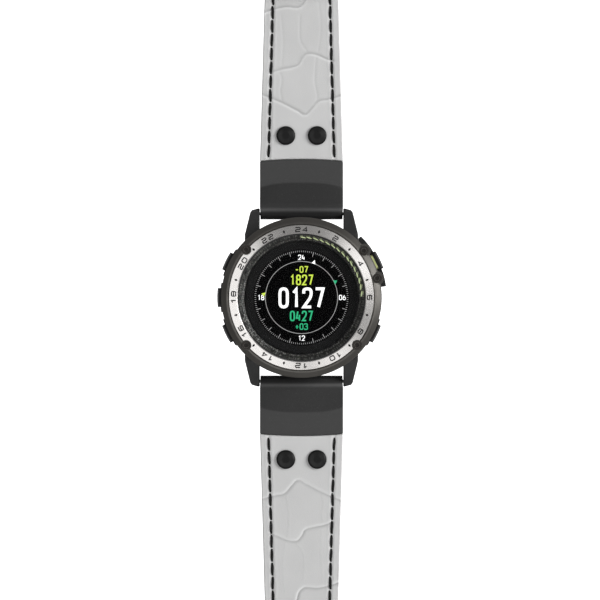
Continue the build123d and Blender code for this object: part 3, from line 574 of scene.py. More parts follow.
# %% Metal finishes
finish("case_coating", (0.024, 0.024, 0.024, 1), 0.42, 0.0, size=0.16, depth=0.006, edges=0.35,
       worn_edge_highlight_color=(0.16, 0.16, 0.16, 1), specks=0.10)
finish("bezel_coating", (0.115, 0.109, 0.100, 1), 0.36, 0.8, relief="turned", size=0.09, depth=0.004,
       edges=0.55, worn_edge_highlight_color=(0.34, 0.33, 0.31, 1), specks=0.06)
finish("guard_coating", (0.013, 0.013, 0.013, 1), 0.32, 0.0, size=0.18, depth=0.005, edges=0.7,
       worn_edge_highlight_color=(0.24, 0.24, 0.235, 1), specks=0.08)
finish("hour_ring_steel", (0.74, 0.72, 0.70, 1), 0.27, 1.0, relief="turned", size=0.05, depth=0.0001,
       contrast=0.03, patch=14.0, rough_spread=0.02)
finish("screw_coating", (0.046, 0.041, 0.036, 1), 0.32, 0.5, size=0.12, depth=0.004, edges=0.9,
       worn_edge_highlight_color=(0.26, 0.25, 0.24, 1))
finish("screw_steel", (0.42, 0.42, 0.43, 1), 0.33, 1.0, relief="turned", size=0.07, depth=0.003, edges=0.2)
finish("spring_steel", (0.50, 0.50, 0.51, 1), 0.28, 1.0, size=0.2, depth=0.003, patch=4.0)
finish("switch_steel", (0.56, 0.56, 0.56, 1), 0.35, 1.0, size=0.15, depth=0.003, patch=3.0)
finish("contact_gold", (0.83, 0.60, 0.25, 1), 0.22, 1.0, size=0.1, depth=0.002, patch=2.0, contrast=0.06)
finish("antenna_copper", (0.72, 0.40, 0.26, 1), 0.35, 1.0, size=0.2, depth=0.004, patch=6.0)
finish("weight_tungsten", (0.33, 0.33, 0.34, 1), 0.4, 1.0, size=0.1, depth=0.006, patch=2.0)
finish("buckle_black", (0.022, 0.022, 0.022, 1), 0.3, 0.5, size=0.2, depth=0.004, edges=0.6,
       worn_edge_highlight_color=(0.24, 0.24, 0.24, 1), specks=0.06)
finish("rivet_black", (0.009, 0.009, 0.009, 1), 0.33, 0.1, size=0.14, depth=0.004, edges=0.25,
       worn_edge_highlight_color=(0.1, 0.1, 0.1, 1), Specular_IOR_Level=0.32)
print("metal finishes", len(finishes))

# %% Rubber, plastic, leather and thread finishes
finish("link_rubber", (0.024, 0.024, 0.024, 1), 0.52, size=0.22, depth=0.012, contrast=0.08, patch=16.0,
       specks=0.10, Specular_IOR_Level=0.38)
finish("button_coating", (0.012, 0.012, 0.012, 1), 0.30, 0.3, size=0.14, depth=0.005, edges=0.55,
       worn_edge_highlight_color=(0.2, 0.2, 0.2, 1), specks=0.05)
finish("seal_rubber", (0.014, 0.014, 0.014, 1), 0.6, size=0.2, depth=0.01)
finish("rear_polymer", (0.022, 0.022, 0.023, 1), 0.5, size=0.12, depth=0.01, edges=0.2,
       worn_edge_highlight_color=(0.09, 0.09, 0.09, 1), specks=0.08)
finish("inner_polymer", (0.025, 0.025, 0.025, 1), 0.5, size=0.2, depth=0.01)
finish("circuit_board", (0.012, 0.055, 0.030, 1), 0.4, size=0.3, depth=0.01, contrast=0.3, patch=3.0)
finish("battery_foil", (0.50, 0.50, 0.52, 1), 0.38, 0.8, size=1.6, depth=0.05, patch=6.0)
finish("sensor_glass", (0.012, 0.012, 0.014, 1), 0.08, size=0.8, depth=0.001, rough_spread=0.04,
       Coat_Weight=0.6, Coat_Roughness=0.04)
finish("carbon_weave", (0.215, 0.211, 0.198, 1), 0.34, size=0.12, depth=0.006, contrast=0.45, patch=0.9,
       Specular_IOR_Level=0.6)
finish("display_black", (0.0012, 0.0012, 0.0014, 1), 0.5, size=0.4, depth=0.0003, contrast=0.1, patch=5.0,
       Specular_IOR_Level=0.0)
finish("accent_yellow_green", (0.62, 0.67, 0.29, 1), 0.38, size=0.16, depth=0.006, contrast=0.12, patch=1.6,
       edges=0.2, worn_edge_highlight_color=(0.80, 0.88, 0.50, 1))
# The coloured thread glows a little: painted light that makes it brighter.
finish("dyed_thread", (0.86, 0.94, 0.54, 1), 0.5, size=0.12, depth=0.01, contrast=0.06, patch=0.8,
       Emission_Color=(0.80, 1.0, 0.50, 1), Emission_Strength=0.17)
finish("print_black", (0.014, 0.014, 0.014, 1), 0.7, size=0.08, depth=0.002, contrast=0.2, patch=0.8,
       Specular_IOR_Level=0.2)
finish("strap_leather", (0.640, 0.640, 0.637, 1), 0.52, relief="hide", size=0.34, depth=0.018, contrast=0.035,
       patch=11.0, Specular_IOR_Level=0.35, Sheen_Weight=0.08, Sheen_Roughness=0.4)
finish("lining_leather", (0.30, 0.295, 0.285, 1), 0.62, relief="hide", size=0.5, depth=0.03, contrast=0.09,
       patch=6.0, Specular_IOR_Level=0.3, Sheen_Weight=0.1, Sheen_Roughness=0.5)
finish("keeper_leather", (0.628, 0.628, 0.624, 1), 0.5, relief="hide", size=0.32, depth=0.02, contrast=0.04,
       patch=7.0, Specular_IOR_Level=0.35, Sheen_Weight=0.08, Sheen_Roughness=0.4)
finish("stitch_thread", (0.006, 0.006, 0.006, 1), 0.65, size=0.22, depth=0.05, contrast=0.4, patch=0.5,
       Specular_IOR_Level=0.2)
print("finishes", len(finishes))

# %% [markdown]
# ## The crystal and the light of the display
#
# The crystal is real glass in the shader: light goes through it and a little is mirrored. A thick lens of
# glass also throws a shadow in a ray tracer, which a real coated crystal does not, so its shadow is
# switched off on the object. The display's characters give a little light of their own, as a lit screen's do.

# %% Glass and lit characters
finish("crystal_glass", (0.97, 0.98, 0.98, 1), 0.02, size=2.0, depth=0.0002, contrast=0.01, rough_spread=0.02,
       Transmission_Weight=1.0, IOR=1.15)
frame["nodes"]["crystal"].visible_shadow = False
frame["nodes"]["crystal"].visible_diffuse = False


def lit(slot, color, strength):
    """A finish for lit characters, whose light changes a little in small patches."""
    material = finish(slot, shade(color, 0.5), 0.4, size=0.3, depth=0.001, contrast=0.05)
    tree = material.node_tree
    shader = tree.nodes["Principled BSDF"]
    point = tree.nodes["Vector Math"].outputs["Vector"]
    glow = place(tree, patches, point, Size=0.35, Dark=shade(color, 0.86), Light=shade(color, 1.0))
    tree.links.new(glow.outputs["Color"], shader.inputs["Emission Color"])
    shader.inputs["Emission Strength"].default_value = strength


lit("display_white", (1.0, 1.0, 1.0, 1), 0.95)
lit("display_green", (0.012, 0.40, 0.17, 1), 0.9)
lit("display_yellow", (0.53, 0.68, 0.06, 1), 0.9)

# %% Give every CAD node its finish
for entry in frame["record"]["subparts"]:
    node = frame["nodes"][entry["node"]]
    node.data.materials.clear()
    node.data.materials.append(finishes[entry["material_slot"]])
    for polygon in node.data.polygons:
        polygon.material_index = 0

# %% [markdown]
# ## Rubber end links
#
# Each link is one moulding of soft black rubber. It is a round knuckle on the spring bar, then a crest, a
# slope that falls away from the case, and a flat that meets the leather in a shallow curve. It is lofted
# across the strap: the same side profile, a little smaller at the two outer edges, which rounds them.


# %% Side profile of a link
link_bow = 0.6
knuckle_radius = 2.3
pin_hole_radius = 0.98
# Shares of the painted light on the flat pads and of the painted highlight on the crests.
pad_painted_light = 0.27
crest_painted_highlight = 0.8


def pad_edge(share):
    """Where the slope ends and the flat pad begins, at a share of the half width."""
    return pin_y + 9.7 - 1.6 * abs(share) ** 3


def link_profile(share, inset):
    """(y, z) outline of a link at a share of its half width, pulled in by inset."""
    fall_end = pad_edge(share)
    face = link_end + link_bow * (1 - share ** 2) - inset
    crest_y = pin_y + 1.5
    top = link_high[2] - inset
    low = link_low[2] + inset
    knuckle = knuckle_radius - inset
    corners = [
        (face, low, 0.35),
        (face, leather_top + 0.2 - inset, 0.5),
        (fall_end, leather_top + 0.42 - inset, 0.5),
        (crest_y + 1.5, top - 0.2, 0.6),
        (crest_y, top, 0.6),
        (crest_y - 0.9, top - 0.3, 0.5),
        (pin_y - 1.2, pin_z + 1.9 - inset, 0.5),
    ]
    outline = rounded(corners, 5)[:-1]
    for step in range(15):
        angle = radians(120 + step * 150 / 14)
        outline.append((pin_y + (knuckle - 0.45) * cos(angle), pin_z + knuckle * sin(angle)))
    outline.append((pin_y + 4.0, low + 0.35))
    outline.append((fall_end, low + 0.06))
    return outline


def across(half, edge, steps):
    """(x, inset) stations over a half width, with a quarter round at each edge."""
    stations = []
    for step in range(5):
        angle = radians(90 * step / 4)
        stations.append((half - edge + edge * sin(angle), edge * (1 - cos(angle))))
    stations.reverse()
    middle = [(half - edge) * (1 - 2 * step / steps) for step in range(1, steps)]
    return stations + [(x, 0.0) for x in middle] + [(-x, inset) for x, inset in reversed(stations)]


# %% Cut holes and slots with other solids
def cutter_drum(radius, centre, axis, length):
    """A round cutter; its centre in millimetres, its axis 'X' or 'Z'."""
    turn_to = {"X": Matrix.Rotation(radians(90), 4, "Y"), "Z": Matrix.Identity(4)}[axis]
    mesh = bpy.data.meshes.new("cutter")
    shape = bmesh.new()
    bmesh.ops.create_cone(shape, cap_ends=True, segments=48, radius1=radius * MM, radius2=radius * MM,
                          depth=length * MM, matrix=Matrix.Translation(Vector(centre) * MM) @ turn_to)
    shape.to_mesh(mesh)
    shape.free()
    return mesh


def cutter_block(low, high):
    """A block cutter between two corners in millimetres."""
    mesh = bpy.data.meshes.new("cutter")
    shape = bmesh.new()
    size = [(b - a) * MM for a, b in zip(low, high)]
    middle = [(a + b) / 2 * MM for a, b in zip(low, high)]
    bmesh.ops.create_cube(shape, size=1.0, matrix=Matrix.Translation(middle) @ Matrix.Diagonal((*size, 1)))
    shape.to_mesh(mesh)
    shape.free()
    return mesh


def cut(piece, cutters, half_turn=False, crisp=40):
    """Takes the cutters out of a piece for good."""
    tools = []
    for mesh in cutters:
        if half_turn:
            mesh.transform(Matrix.Rotation(pi, 4, "Z"))
        tool = bpy.data.objects.new("cutter", mesh)
        scene.collection.objects.link(tool)
        modifier = piece.modifiers.new("cut", "BOOLEAN")
        modifier.operation = "DIFFERENCE"
        modifier.solver = "EXACT"
        modifier.object = tool
        tools.append(tool)
    bpy.context.view_layer.update()
    shaped = bpy.data.meshes.new_from_object(piece.evaluated_get(bpy.context.evaluated_depsgraph_get()))
    piece.modifiers.clear()
    old = piece.data
    piece.data = shaped
    bpy.data.meshes.remove(old)
    for tool in tools:
        bpy.data.objects.remove(tool)
    for mesh in cutters:
        bpy.data.meshes.remove(mesh)
    shaped.name = piece.name
    cleaned(shaped)
    shaped.shade_smooth()
    shaped.set_sharp_from_angle(angle=radians(crisp))
    print(piece.name, "cut", len(cutters), "times,", len(shaped.vertices), "vertices")


# %% Mould the two links
def end_link(side, half_turn):
    """One end link with its bar hole, and a stored value for the light and highlight painted on its pad and
    crest.
    """
    body_loops = []
    for x, inset in across(strap_half, 0.3, 26):
        share = x / strap_half
        narrow = strap_half - 0.15
        loop = []
        for y, z in link_profile(share, inset):
            limit = narrow if y < pin_y + 1.9 else strap_half
            loop.append((max(-limit, min(limit, x)), y, z))
        body_loops.append(loop)
    piece = new_piece(side + "_link_moulding", *loft(body_loops), "link_rubber", side + "_strap",
                      [side + "_end_link"], half_turn, 50)
    cut(piece, [cutter_drum(pin_hole_radius, (0, pin_y, pin_z), "X", 40)], half_turn, 50)
    # How much light is painted on the flat pad and highlight on the crest.
    painted_rubber_light = piece.data.attributes.new("painted_rubber_light", "FLOAT", "POINT")
    for vertex, value in zip(piece.data.vertices, painted_rubber_light.data):
        x, y, _ = turned([part / MM for part in vertex.co], half_turn)
        pad = max(0.0, min(1.0, (y - pad_edge(min(1.0, abs(x) / strap_half))) / 0.5 + 0.5))
        crest = exp(-((y - pin_y - 1.1) / 0.55) ** 2)
        value.value = max(pad_painted_light * pad, crest_painted_highlight * crest)


for side, half_turn in (("upper", False), ("lower", True)):
    end_link(side, half_turn)

# %% Paint light on the pads and a highlight on the crests
painted_rubber_light_mask = stored_value(finishes["link_rubber"].node_tree, "painted_rubber_light")
# The rubber is painted lighter on the flat pads, as light, and on the crests, as a highlight.
paint_over("link_rubber", painted_rubber_light_mask, (0.11, 0.11, 0.11, 1))

# %% [markdown]
# ## Leather straps
#
# The strap's face is calf leather, pressed with a pattern of large scales. The pressing leaves creases
# between the scales and a sunk line under each row of stitches, and the fields between them are slightly
# wavy. All of it is modelled as height in a fine grid, because a pattern this large changes the light on the
# strap. Only the fine pebbles and pores are bump.
#
# Each crease is a short list of (across, along) places on the strap. The pattern repeats along the strap
# and is mirrored each time, which is how a pressing plate avoids looking like wallpaper.

# %% Where the creases run
crease_plan = [
    (1.0, [(-11.9, 88.9), (-8.9, 90.0), (-5.1, 90.8), (-1.5, 90.6), (-0.3, 91.0), (0.9, 92.3), (1.6, 95.0)]),
    (0.22, [(-0.5, 88.0), (-0.6, 84.0), (-0.3, 80.0), (1.9, 76.7)]),
    (0.9, [(-9.6, 70.2), (-6.7, 71.2), (-1.5, 72.4), (0.1, 74.7),
           (1.7, 76.1), (4.4, 75.9), (7.8, 74.5), (9.8, 73.9)]),
    (0.9, [(-12.4, 63.4), (-9.2, 62.1), (-5.1, 60.3), (-1.5, 58.4),
           (1.5, 57.2), (5.2, 61.1), (8.4, 61.9), (12.4, 63.0)]),
    (0.22, [(-6.9, 70.8), (-6.2, 68.0), (-6.6, 64.5), (-6.0, 61.2)]),
    (0.22, [(4.6, 75.6), (4.1, 68.0), (4.9, 63.0), (4.6, 60.8)]),
    (0.15, [(5.4, 92.5), (6.0, 84.0), (5.2, 77.0)]),
    (0.15, [(-6.4, 88.0), (-5.8, 80.0), (-6.2, 72.0)]),
]
pattern_length = 42.0
stitch_inset = 2.7
stitch_pitch = 4.2
stitch_start = link_end + 1.1
taper = (strap_half - 11.0) / (bar_y - link_end)


def half_width(y):
    """Half the strap's width along it."""
    return strap_half - taper * (y - link_end)


def flowing(points, per_run=7):
    """A smooth line through points."""
    padded = [points[0], *points, points[-1]]
    line = []
    for k in range(1, len(padded) - 2):
        a, b, c, d = (np.array(padded[k + step], float) for step in (-1, 0, 1, 2))
        for step in range(per_run):
            t = step / per_run
            line.append(0.5 * (2 * b + (c - a) * t + (2 * a - 5 * b + 4 * c - d) * t ** 2
                               + (3 * b - 3 * c + d - a) * t ** 3))
    line.append(np.array(points[-1], float))
    return line


crease_runs = []
for repeat, mirror in ((0, 1), (1, -1), (2, 1)):
    for strength, places in crease_plan:
        line = flowing([(mirror * x, y + repeat * pattern_length) for x, y in places])
        facing = -1.0 if line[-1][0] < line[0][0] - 4 else 1.0
        crease_runs += [(strength, facing, first, second) for first, second in zip(line, line[1:])]
print("creases in", len(crease_runs), "short runs")


# %% Height of the pressed pattern
crease_width = 0.30
lit_width = 0.62
lit_turn = 0.2
press_depth = 0.16
press_edge = 0.05
sewn_depth = 0.20
sewn_width = 0.5
seam_stop = 6.0
wave_height = 0.07
face_sunk = 0.09


def crease_relief(x, y):
    """(depth, side) of the creases at many places at once. Side is above zero towards the case."""
    depth = np.zeros_like(x)
    side = np.zeros_like(x)
    for strength, facing, first, second in crease_runs:
        near = (y > min(first[1], second[1]) - 2) & (y < max(first[1], second[1]) + 2)
        if not near.any():
            continue
        px, py = x[near] - first[0], y[near] - first[1]
        run = second - first
        length = max(float(run @ run), 1e-9)
        t = np.clip((px * run[0] + py * run[1]) / length, 0, 1)
        gap_x, gap_y = px - t * run[0], py - t * run[1]
        gap = np.hypot(gap_x, gap_y)
        across_run = (gap_x * run[1] - gap_y * run[0]) * facing / sqrt(length)
        valley = strength * np.exp(-(gap / crease_width) ** 2)
        lit_side = strength * np.tanh(across_run / lit_turn) * np.exp(-(gap / lit_width) ** 2)
        deeper = valley > depth[near]
        depth[near] = np.where(deeper, valley, depth[near])
        side[near] = np.where(np.abs(lit_side) > np.abs(side[near]), lit_side, side[near])
    return depth, side


def strap_face(x, y, end_y):
    """Height of the strap's face over its flat top, in millimetres."""
    from_edge = half_width(y) - np.abs(x)
    depth, side = crease_relief(x, y)
    field = np.clip(from_edge / 3.0, 0, 1)
    height = -press_depth * depth * field ** 0.3 + press_edge * side
    no_seam = 9.0
    sewn = np.where(y > end_y - seam_stop, no_seam, np.abs(from_edge - stitch_inset))
    height -= sewn_depth * np.exp(-(sewn / sewn_width) ** 2)
    height += press_edge * np.exp(-((sewn - 1.0) / 0.35) ** 2)
    waves = np.array([noise.noise(Vector((a * 0.16, b * 0.11, 3.0))) for a, b in zip(x, y)])
    return height + wave_height * waves - face_sunk


# %% Lay out one strap layer
ease_run = 3.0
bow_run = 14.0
low_round = 0.4


def tip_line(x, end_y, point):
    """How far the strap reaches at x, square or pointed."""
    if point <= 0:
        return end_y
    far = half_width(end_y - point)
    share = min(1.0, abs(x) / far)
    return end_y - point * share ** 2.4


def strap_layer(end_y, point, low, top_at, edge, columns, rows, roll=None, face=None):
    """Loops across the strap from the end link to its far end. top_at(y) is the flat top's height. A roll is
    the (y, z, radius) of a bar that the strap's end wraps, and a face gives the relief of its top."""
    begin = link_end + fit
    turn_y = end_y - 2.2 * point if point > 0 else end_y
    rounding = [(edge * (1 - sin(radians(a))), edge * (1 - cos(radians(a)))) for a in (80, 60, 30)]
    length = end_y - begin
    plain = [edge + (length - 2 * edge) * k / rows for k in range(rows + 1)]
    stations = rounding + [(s, 0.0) for s in plain]
    if roll is None:
        stations += [(length - run_in, inset) for run_in, inset in reversed(rounding)]
    else:
        roll_y, roll_z, roll_radius = roll
        stations = [(s, inset) for s, inset in stations if begin + s < roll_y - ease_run]
        for step in range(31):
            angle = radians(-90 + 178 * step / 30)
            reach = roll_radius if angle > 0 else ease_run
            stations.append((roll_y - begin + reach * sin(angle), 0.0))
    loops = []
    for s, inset in stations:
        y_plain = begin + s
        half = half_width(min(y_plain, end_y - point)) - inset
        lane = [(half - edge) * (2 * k / columns - 1) for k in range(columns + 1)]
        bow = max(0.0, 1 - (y_plain - begin) / bow_run)
        high = top_at(y_plain) - inset
        base = low + inset
        if roll is not None and y_plain > roll_y - ease_run:
            off = abs(y_plain - roll_y)
            if y_plain <= roll_y:
                ease = max(0.0, 1 - off / ease_run)
                blend = ease * ease * (3 - 2 * ease)
                high = high * (1 - blend) + (roll_z + roll_radius) * blend
                base = base * (1 - blend) + (roll_z - roll_radius) * blend
            else:
                chord = sqrt(max(0.0, roll_radius ** 2 - off ** 2))
                high, base = roll_z + chord, roll_z - chord
        thick = high - base
        corner = min(edge, 0.48 * thick)

        def along(x):
            y = y_plain + link_bow * bow * (1 - min(1.0, (x / strap_half) ** 2))
            if point > 0 and y_plain > turn_y:
                share = (y_plain - turn_y) / (end_y - turn_y)
                y = turn_y + (tip_line(x, end_y, point) - turn_y) * share
            return y

        side_round = []
        for a in (30, 60, 90):
            side_round.append((half - edge + edge * sin(radians(a)), high - corner * (1 - cos(radians(a)))))
        for a in (60, 0):
            side_round.append((half - low_round * edge * (1 - sin(radians(a))),
                               base + low_round * corner * (1 - cos(radians(a)))))
        under = [(half - edge) * (1 - 2 * k / 8) for k in range(9)]
        loop = [(x, along(x), high) for x in lane]
        loop += [(x, along(half), z) for x, z in side_round]
        loop += [(x, along(x), base) for x in under]
        loop += [(-x, along(half), z) for x, z in reversed(side_round)]
        loops.append(loop)
    if face is not None:
        flat = np.array([loop[:columns + 1] for loop in loops], float)
        relief = face(flat[..., 0].ravel(), flat[..., 1].ravel()).reshape(flat.shape[:2])
        for loop, raised in zip(loops, relief):
            for k in range(columns + 1):
                x, y, z = loop[k]
                calm = 1.0
                if roll is not None and y >= roll_y - ease_run:
                    calm = max(0.0, (roll_y - y) / ease_run)
                loop[k] = (x, y, z + raised[k] * calm)
    return loops


# %% Press, cut and colour the two leathers
def top_height(y):
    """The flat top of the leather, which thins towards the tail."""
    return leather_top + (tip_top - leather_top) * (y - link_end) / (tail_y - link_end)


slot_half = 1.6
slot_from = bar_y - 3.8
hole_radius = 1.3
hole_count = 7
hole_first = link_end + 54.9
hole_pitch = 6.5
rivet_radius = 1.45
rivet_x = 4.9
pocket_half = 10.65
pocket_length = 12.5
pocket_depth = 1.0
bar_hole_radius = 1.03
roll_outside = 1.85


def upright_cutter(radius, x, y):
    """A round cutter through the whole strap."""
    return cutter_drum(radius, (x, y, 4), "Z", 9)


def rivet_cutters():
    """Cutters for the two rivets of one strap."""
    return [upright_cutter(rivet_radius, x, rivet_y) for x in (-rivet_x, rivet_x)]


def slot_cutter():
    """The slot at the buckle, in which the tongue turns."""
    return cutter_block((-slot_half, slot_from, -1), (slot_half, bar_y + 5, 9))


def hole_cutters():
    """Cutters for the row of tongue holes."""
    return [upright_cutter(hole_radius, 0, hole_first + hole_pitch * index) for index in range(hole_count)]


def pocket_cutter():
    """The pocket under the leather, which leaves room for an end link's tongue."""
    return cutter_block((-pocket_half, link_end - 1, under_leather - 1),
                        (pocket_half, link_end + pocket_length, under_leather + pocket_depth))


def write_creases(piece, half_turn):
    """Stores how deep and on which side of a crease each point lies, for the shade and highlight painted into
    the leather's colour.
    """
    mesh = piece.data
    places = np.zeros(len(mesh.vertices) * 3)
    mesh.vertices.foreach_get("co", places)
    places = places.reshape(-1, 3) / MM * (-1 if half_turn else 1)
    depth, side = crease_relief(places[:, 0], places[:, 1])
    for label, values in (("crease_depth", depth), ("crease_side", side)):
        attribute = mesh.attributes.new(label, "FLOAT", "POINT")
        attribute.data.foreach_set("value", values.astype(np.float32))


leather_round = 0.5
leather_columns = 88
upper_loops = strap_layer(bar_y + roll_outside, 0, under_leather, top_height, leather_round, leather_columns,
                          240, roll=(bar_y, bar_z, roll_outside), face=lambda x, y: strap_face(x, y, bar_y))
upper_skin = new_piece("upper_strap_leather", *loft(upper_loops), "strap_leather", "upper_strap",
                       ["upper_leather"], False, 55)
bar_hole = cutter_drum(bar_hole_radius, (0, bar_y, bar_z), "X", 40)
cut(upper_skin, [pocket_cutter(), slot_cutter(), bar_hole, *rivet_cutters()], False, 55)
write_creases(upper_skin, False)

lower_loops = strap_layer(tail_y, tail_point, under_leather, top_height, leather_round, leather_columns, 380,
                          face=lambda x, y: strap_face(x, y, tail_y - 4.0))
lower_skin = new_piece("lower_strap_leather", *loft(lower_loops), "strap_leather", "lower_strap",
                       ["lower_leather"], True, 55)
cut(lower_skin, [pocket_cutter(), *rivet_cutters(), *hole_cutters()], True, 55)
write_creases(lower_skin, True)

# %% [markdown]
# The leather's colour is painted darker down in a crease and on its side away from the case, as shade, and
# lighter on the side towards the case, as a highlight. Two stored values tell the material where that is, and
# they move with the mesh.

# %% Paint shade and highlight on the creases
# Strengths of the painted shade in the creases and on their far sides, and of the painted highlight on their
# near sides.
valley_painted_shade = 0.22
far_side_painted_shade = 0.42
near_side_painted_highlight = 0.95
leather_tree = finishes["strap_leather"].node_tree
depth_here = stored_value(leather_tree, "crease_depth")
side_here = stored_value(leather_tree, "crease_side")
painted_far_side_shade = maths(leather_tree, "MAXIMUM", maths(leather_tree, "MULTIPLY", side_here, -far_side_painted_shade), 0.0)
painted_near_side_highlight = maths(leather_tree, "MAXIMUM", maths(leather_tree, "MULTIPLY", side_here, near_side_painted_highlight), 0.0)
painted_crease_shade = maths(leather_tree, "ADD", maths(leather_tree, "MULTIPLY", depth_here, valley_painted_shade), painted_far_side_shade)
# Painted shade in the creases and on their far sides, and a painted highlight on their near sides.
paint_over("strap_leather", painted_crease_shade, (0.26, 0.26, 0.26, 1))
paint_over("strap_leather", painted_near_side_highlight, (0.86, 0.86, 0.86, 1))

# %% Linings
lining_top = lining_high[2]
for side, end_y, point, half_turn in (("upper", bar_y - 2.15, 0, False), ("lower", tail_y, tail_point, True)):
    loops = strap_layer(end_y, point, lining_low[2], lambda y: lining_top, 0.2, 24, 90 if half_turn else 60)
    lining = new_piece(side + "_strap_lining", *loft(loops), "lining_leather", side + "_strap",
                       [side + "_lining"], half_turn, 50)
    cut(lining, rivet_cutters() + (hole_cutters() if half_turn else [slot_cutter()]), half_turn, 50)

# %% [markdown]
# ## Stitching
#
# Two rows of thick black thread hold each leather to its lining. A saddle stitch is a short length of
# thread that dives into a hole at both ends, so it is fat in the middle, thin at the ends, and never quite
# in line with the next one. Each stitch is a small loft of its own, and the rows also show underneath.


# %% Lay the stitches along a strap
thread_half = 0.42
thread_squash = 0.62
stitch_rise = 0.30
stitch_sunk = 0.20


def stitch(start, end, level, up, swing):
    """One stitch from start to end, bulging away from the leather by up."""
    ax, ay = start
    bx, by = end
    length = hypot(bx - ax, by - ay)
    along_x, along_y = (bx - ax) / length, (by - ay) / length
    loops = []
    for step in range(10):
        t = 0.02 + 0.96 * step / 9
        fat = thread_half * (sin(pi * t) ** 0.2)
        rise = up * (stitch_rise * sin(pi * t) ** 0.6 - stitch_sunk)
        sway = swing * (t - 0.5) + 0.05 * sin(2 * pi * t)
        cx = ax + along_x * length * t - along_y * sway
        cy = ay + along_y * length * t + along_x * sway
        loop = []
        for k in range(8):
            angle = 2 * pi * k / 8
            loop.append((cx - along_y * fat * cos(angle), cy + along_x * fat * cos(angle),
                         level(cy) + rise + thread_squash * fat * sin(angle)))
        loops.append(loop)
    return loft(loops)


def stitch_path(end_y, point):
    """The line of a row of stitches, out along one edge and, round a point, back along the other."""
    rows = []
    if point <= 0:
        for sign in (1, -1):
            rows.append([(sign * (half_width(y) - stitch_inset), y) for y in (stitch_start, end_y)])
        return rows
    shoulder = end_y - point
    inner = half_width(shoulder) - stitch_inset
    right = [(half_width(y) - stitch_inset, y) for y in (stitch_start, shoulder - 1.0)]
    for step in range(1, 13):
        x = inner * cos(radians(90 * step / 12))
        right.append((x, shoulder - 1.0 + (point - stitch_inset + 0.6) * sin(radians(90 * step / 12))))
    return [right, [(-x, y) for x, y in right]]


def stitch_row(row, level, up, wobble):
    """All the stitches of one row."""
    lengths = [hypot(b[0] - a[0], b[1] - a[1]) for a, b in zip(row, row[1:])]
    count = int(sum(lengths) / stitch_pitch)
    pitch = sum(lengths) / count

    def at(distance):
        for (a, b), run in zip(zip(row, row[1:]), lengths):
            if distance <= run + 1e-6:
                share = distance / run
                return (a[0] + (b[0] - a[0]) * share, a[1] + (b[1] - a[1]) * share)
            distance -= run
        return row[-1]

    parts = []
    for index in range(count):
        swing = 0.42 * noise.noise(Vector((index * 1.7, wobble, 0.5))) + 0.16
        parts.append(stitch(at(index * pitch + 0.03), at(index * pitch + pitch - 0.09), level, up, swing))
    return parts


for side, end_y, point, half_turn in (("upper", bar_y - 5.4, 0, False), ("lower", tail_y, tail_point, True)):
    parts = []
    for number, row in enumerate(stitch_path(end_y, point)):
        parts += stitch_row(row, lambda y: top_height(y) - 0.1, 1, number * 3.1 + 1)
        parts += stitch_row(row, lambda y: lining_low[2] + 0.1, -1, number * 3.1 + 8)
    new_piece(side + "_strap_stitching", *joined(parts), "stitch_thread", side + "_strap", (), half_turn, 60)

# %% [markdown]
# ## Button springs
#
# Each button is pushed back out by a small coil spring round its stem, hidden under its cap. One end of the
# spring stands in the case and the other moves with the cap, so a stiff coil would cut through the cap when
# the button is pressed. Here the wire is swept along a helix, and the coil is not attached to the case or to
# the cap.

# %% Wind the five springs
coil_turns = 3
coil_wire = 0.26
coil_radius = 1.62
coil_half = 1.0


def coil(middle, angle, level):
    """A wire wound round a line that points out of the case at an angle."""
    out = Vector((cos(angle), sin(angle), 0))
    side = Vector((-sin(angle), cos(angle), 0))
    up = Vector((0, 0, 1))
    steps = 24 * coil_turns
    loops = []
    for step in range(steps + 1):
        turn_angle = 2 * pi * coil_turns * step / steps
        radial = side * cos(turn_angle) + up * sin(turn_angle)
        centre = out * (middle - coil_half + 2 * coil_half * step / steps) + up * level + radial * coil_radius
        loop = []
        for k in range(8):
            wire_angle = 2 * pi * k / 8
            loop.append(tuple(centre + (radial * cos(wire_angle) + out * sin(wire_angle)) * coil_wire / 2))
        loops.append(loop)
    return loft(loops)


for button in ("light", "up", "down", "start", "back"):
    node = button + "_button_spring"
    low, high = box_mm(node)
    centre = [(a + b) / 2 for a, b in zip(low, high)]
    middle, angle = hypot(centre[0], centre[1]), atan2(centre[1], centre[0])
    ends = [tuple(MM * part for part in (reach * cos(angle), reach * sin(angle), centre[2]))
            for reach in (middle - coil_half, middle + coil_half)]
    new_piece(button + "_button_coil", *coil(middle, angle, centre[2]), "spring_steel",
              ("case", button + "_button", *ends), [node], False, 60)

# %% [markdown]
# ## Keepers
#
# The two keepers are narrow leather bands closed into loops. A band is a flat rounded section swept round
# a rounded rectangle, and the last section joins the first, so there is no end to hide.


# %% Bend the two keepers
band_thick = 1.1
band_bend = 1.1
band_round = 0.45
band_step = 0.9


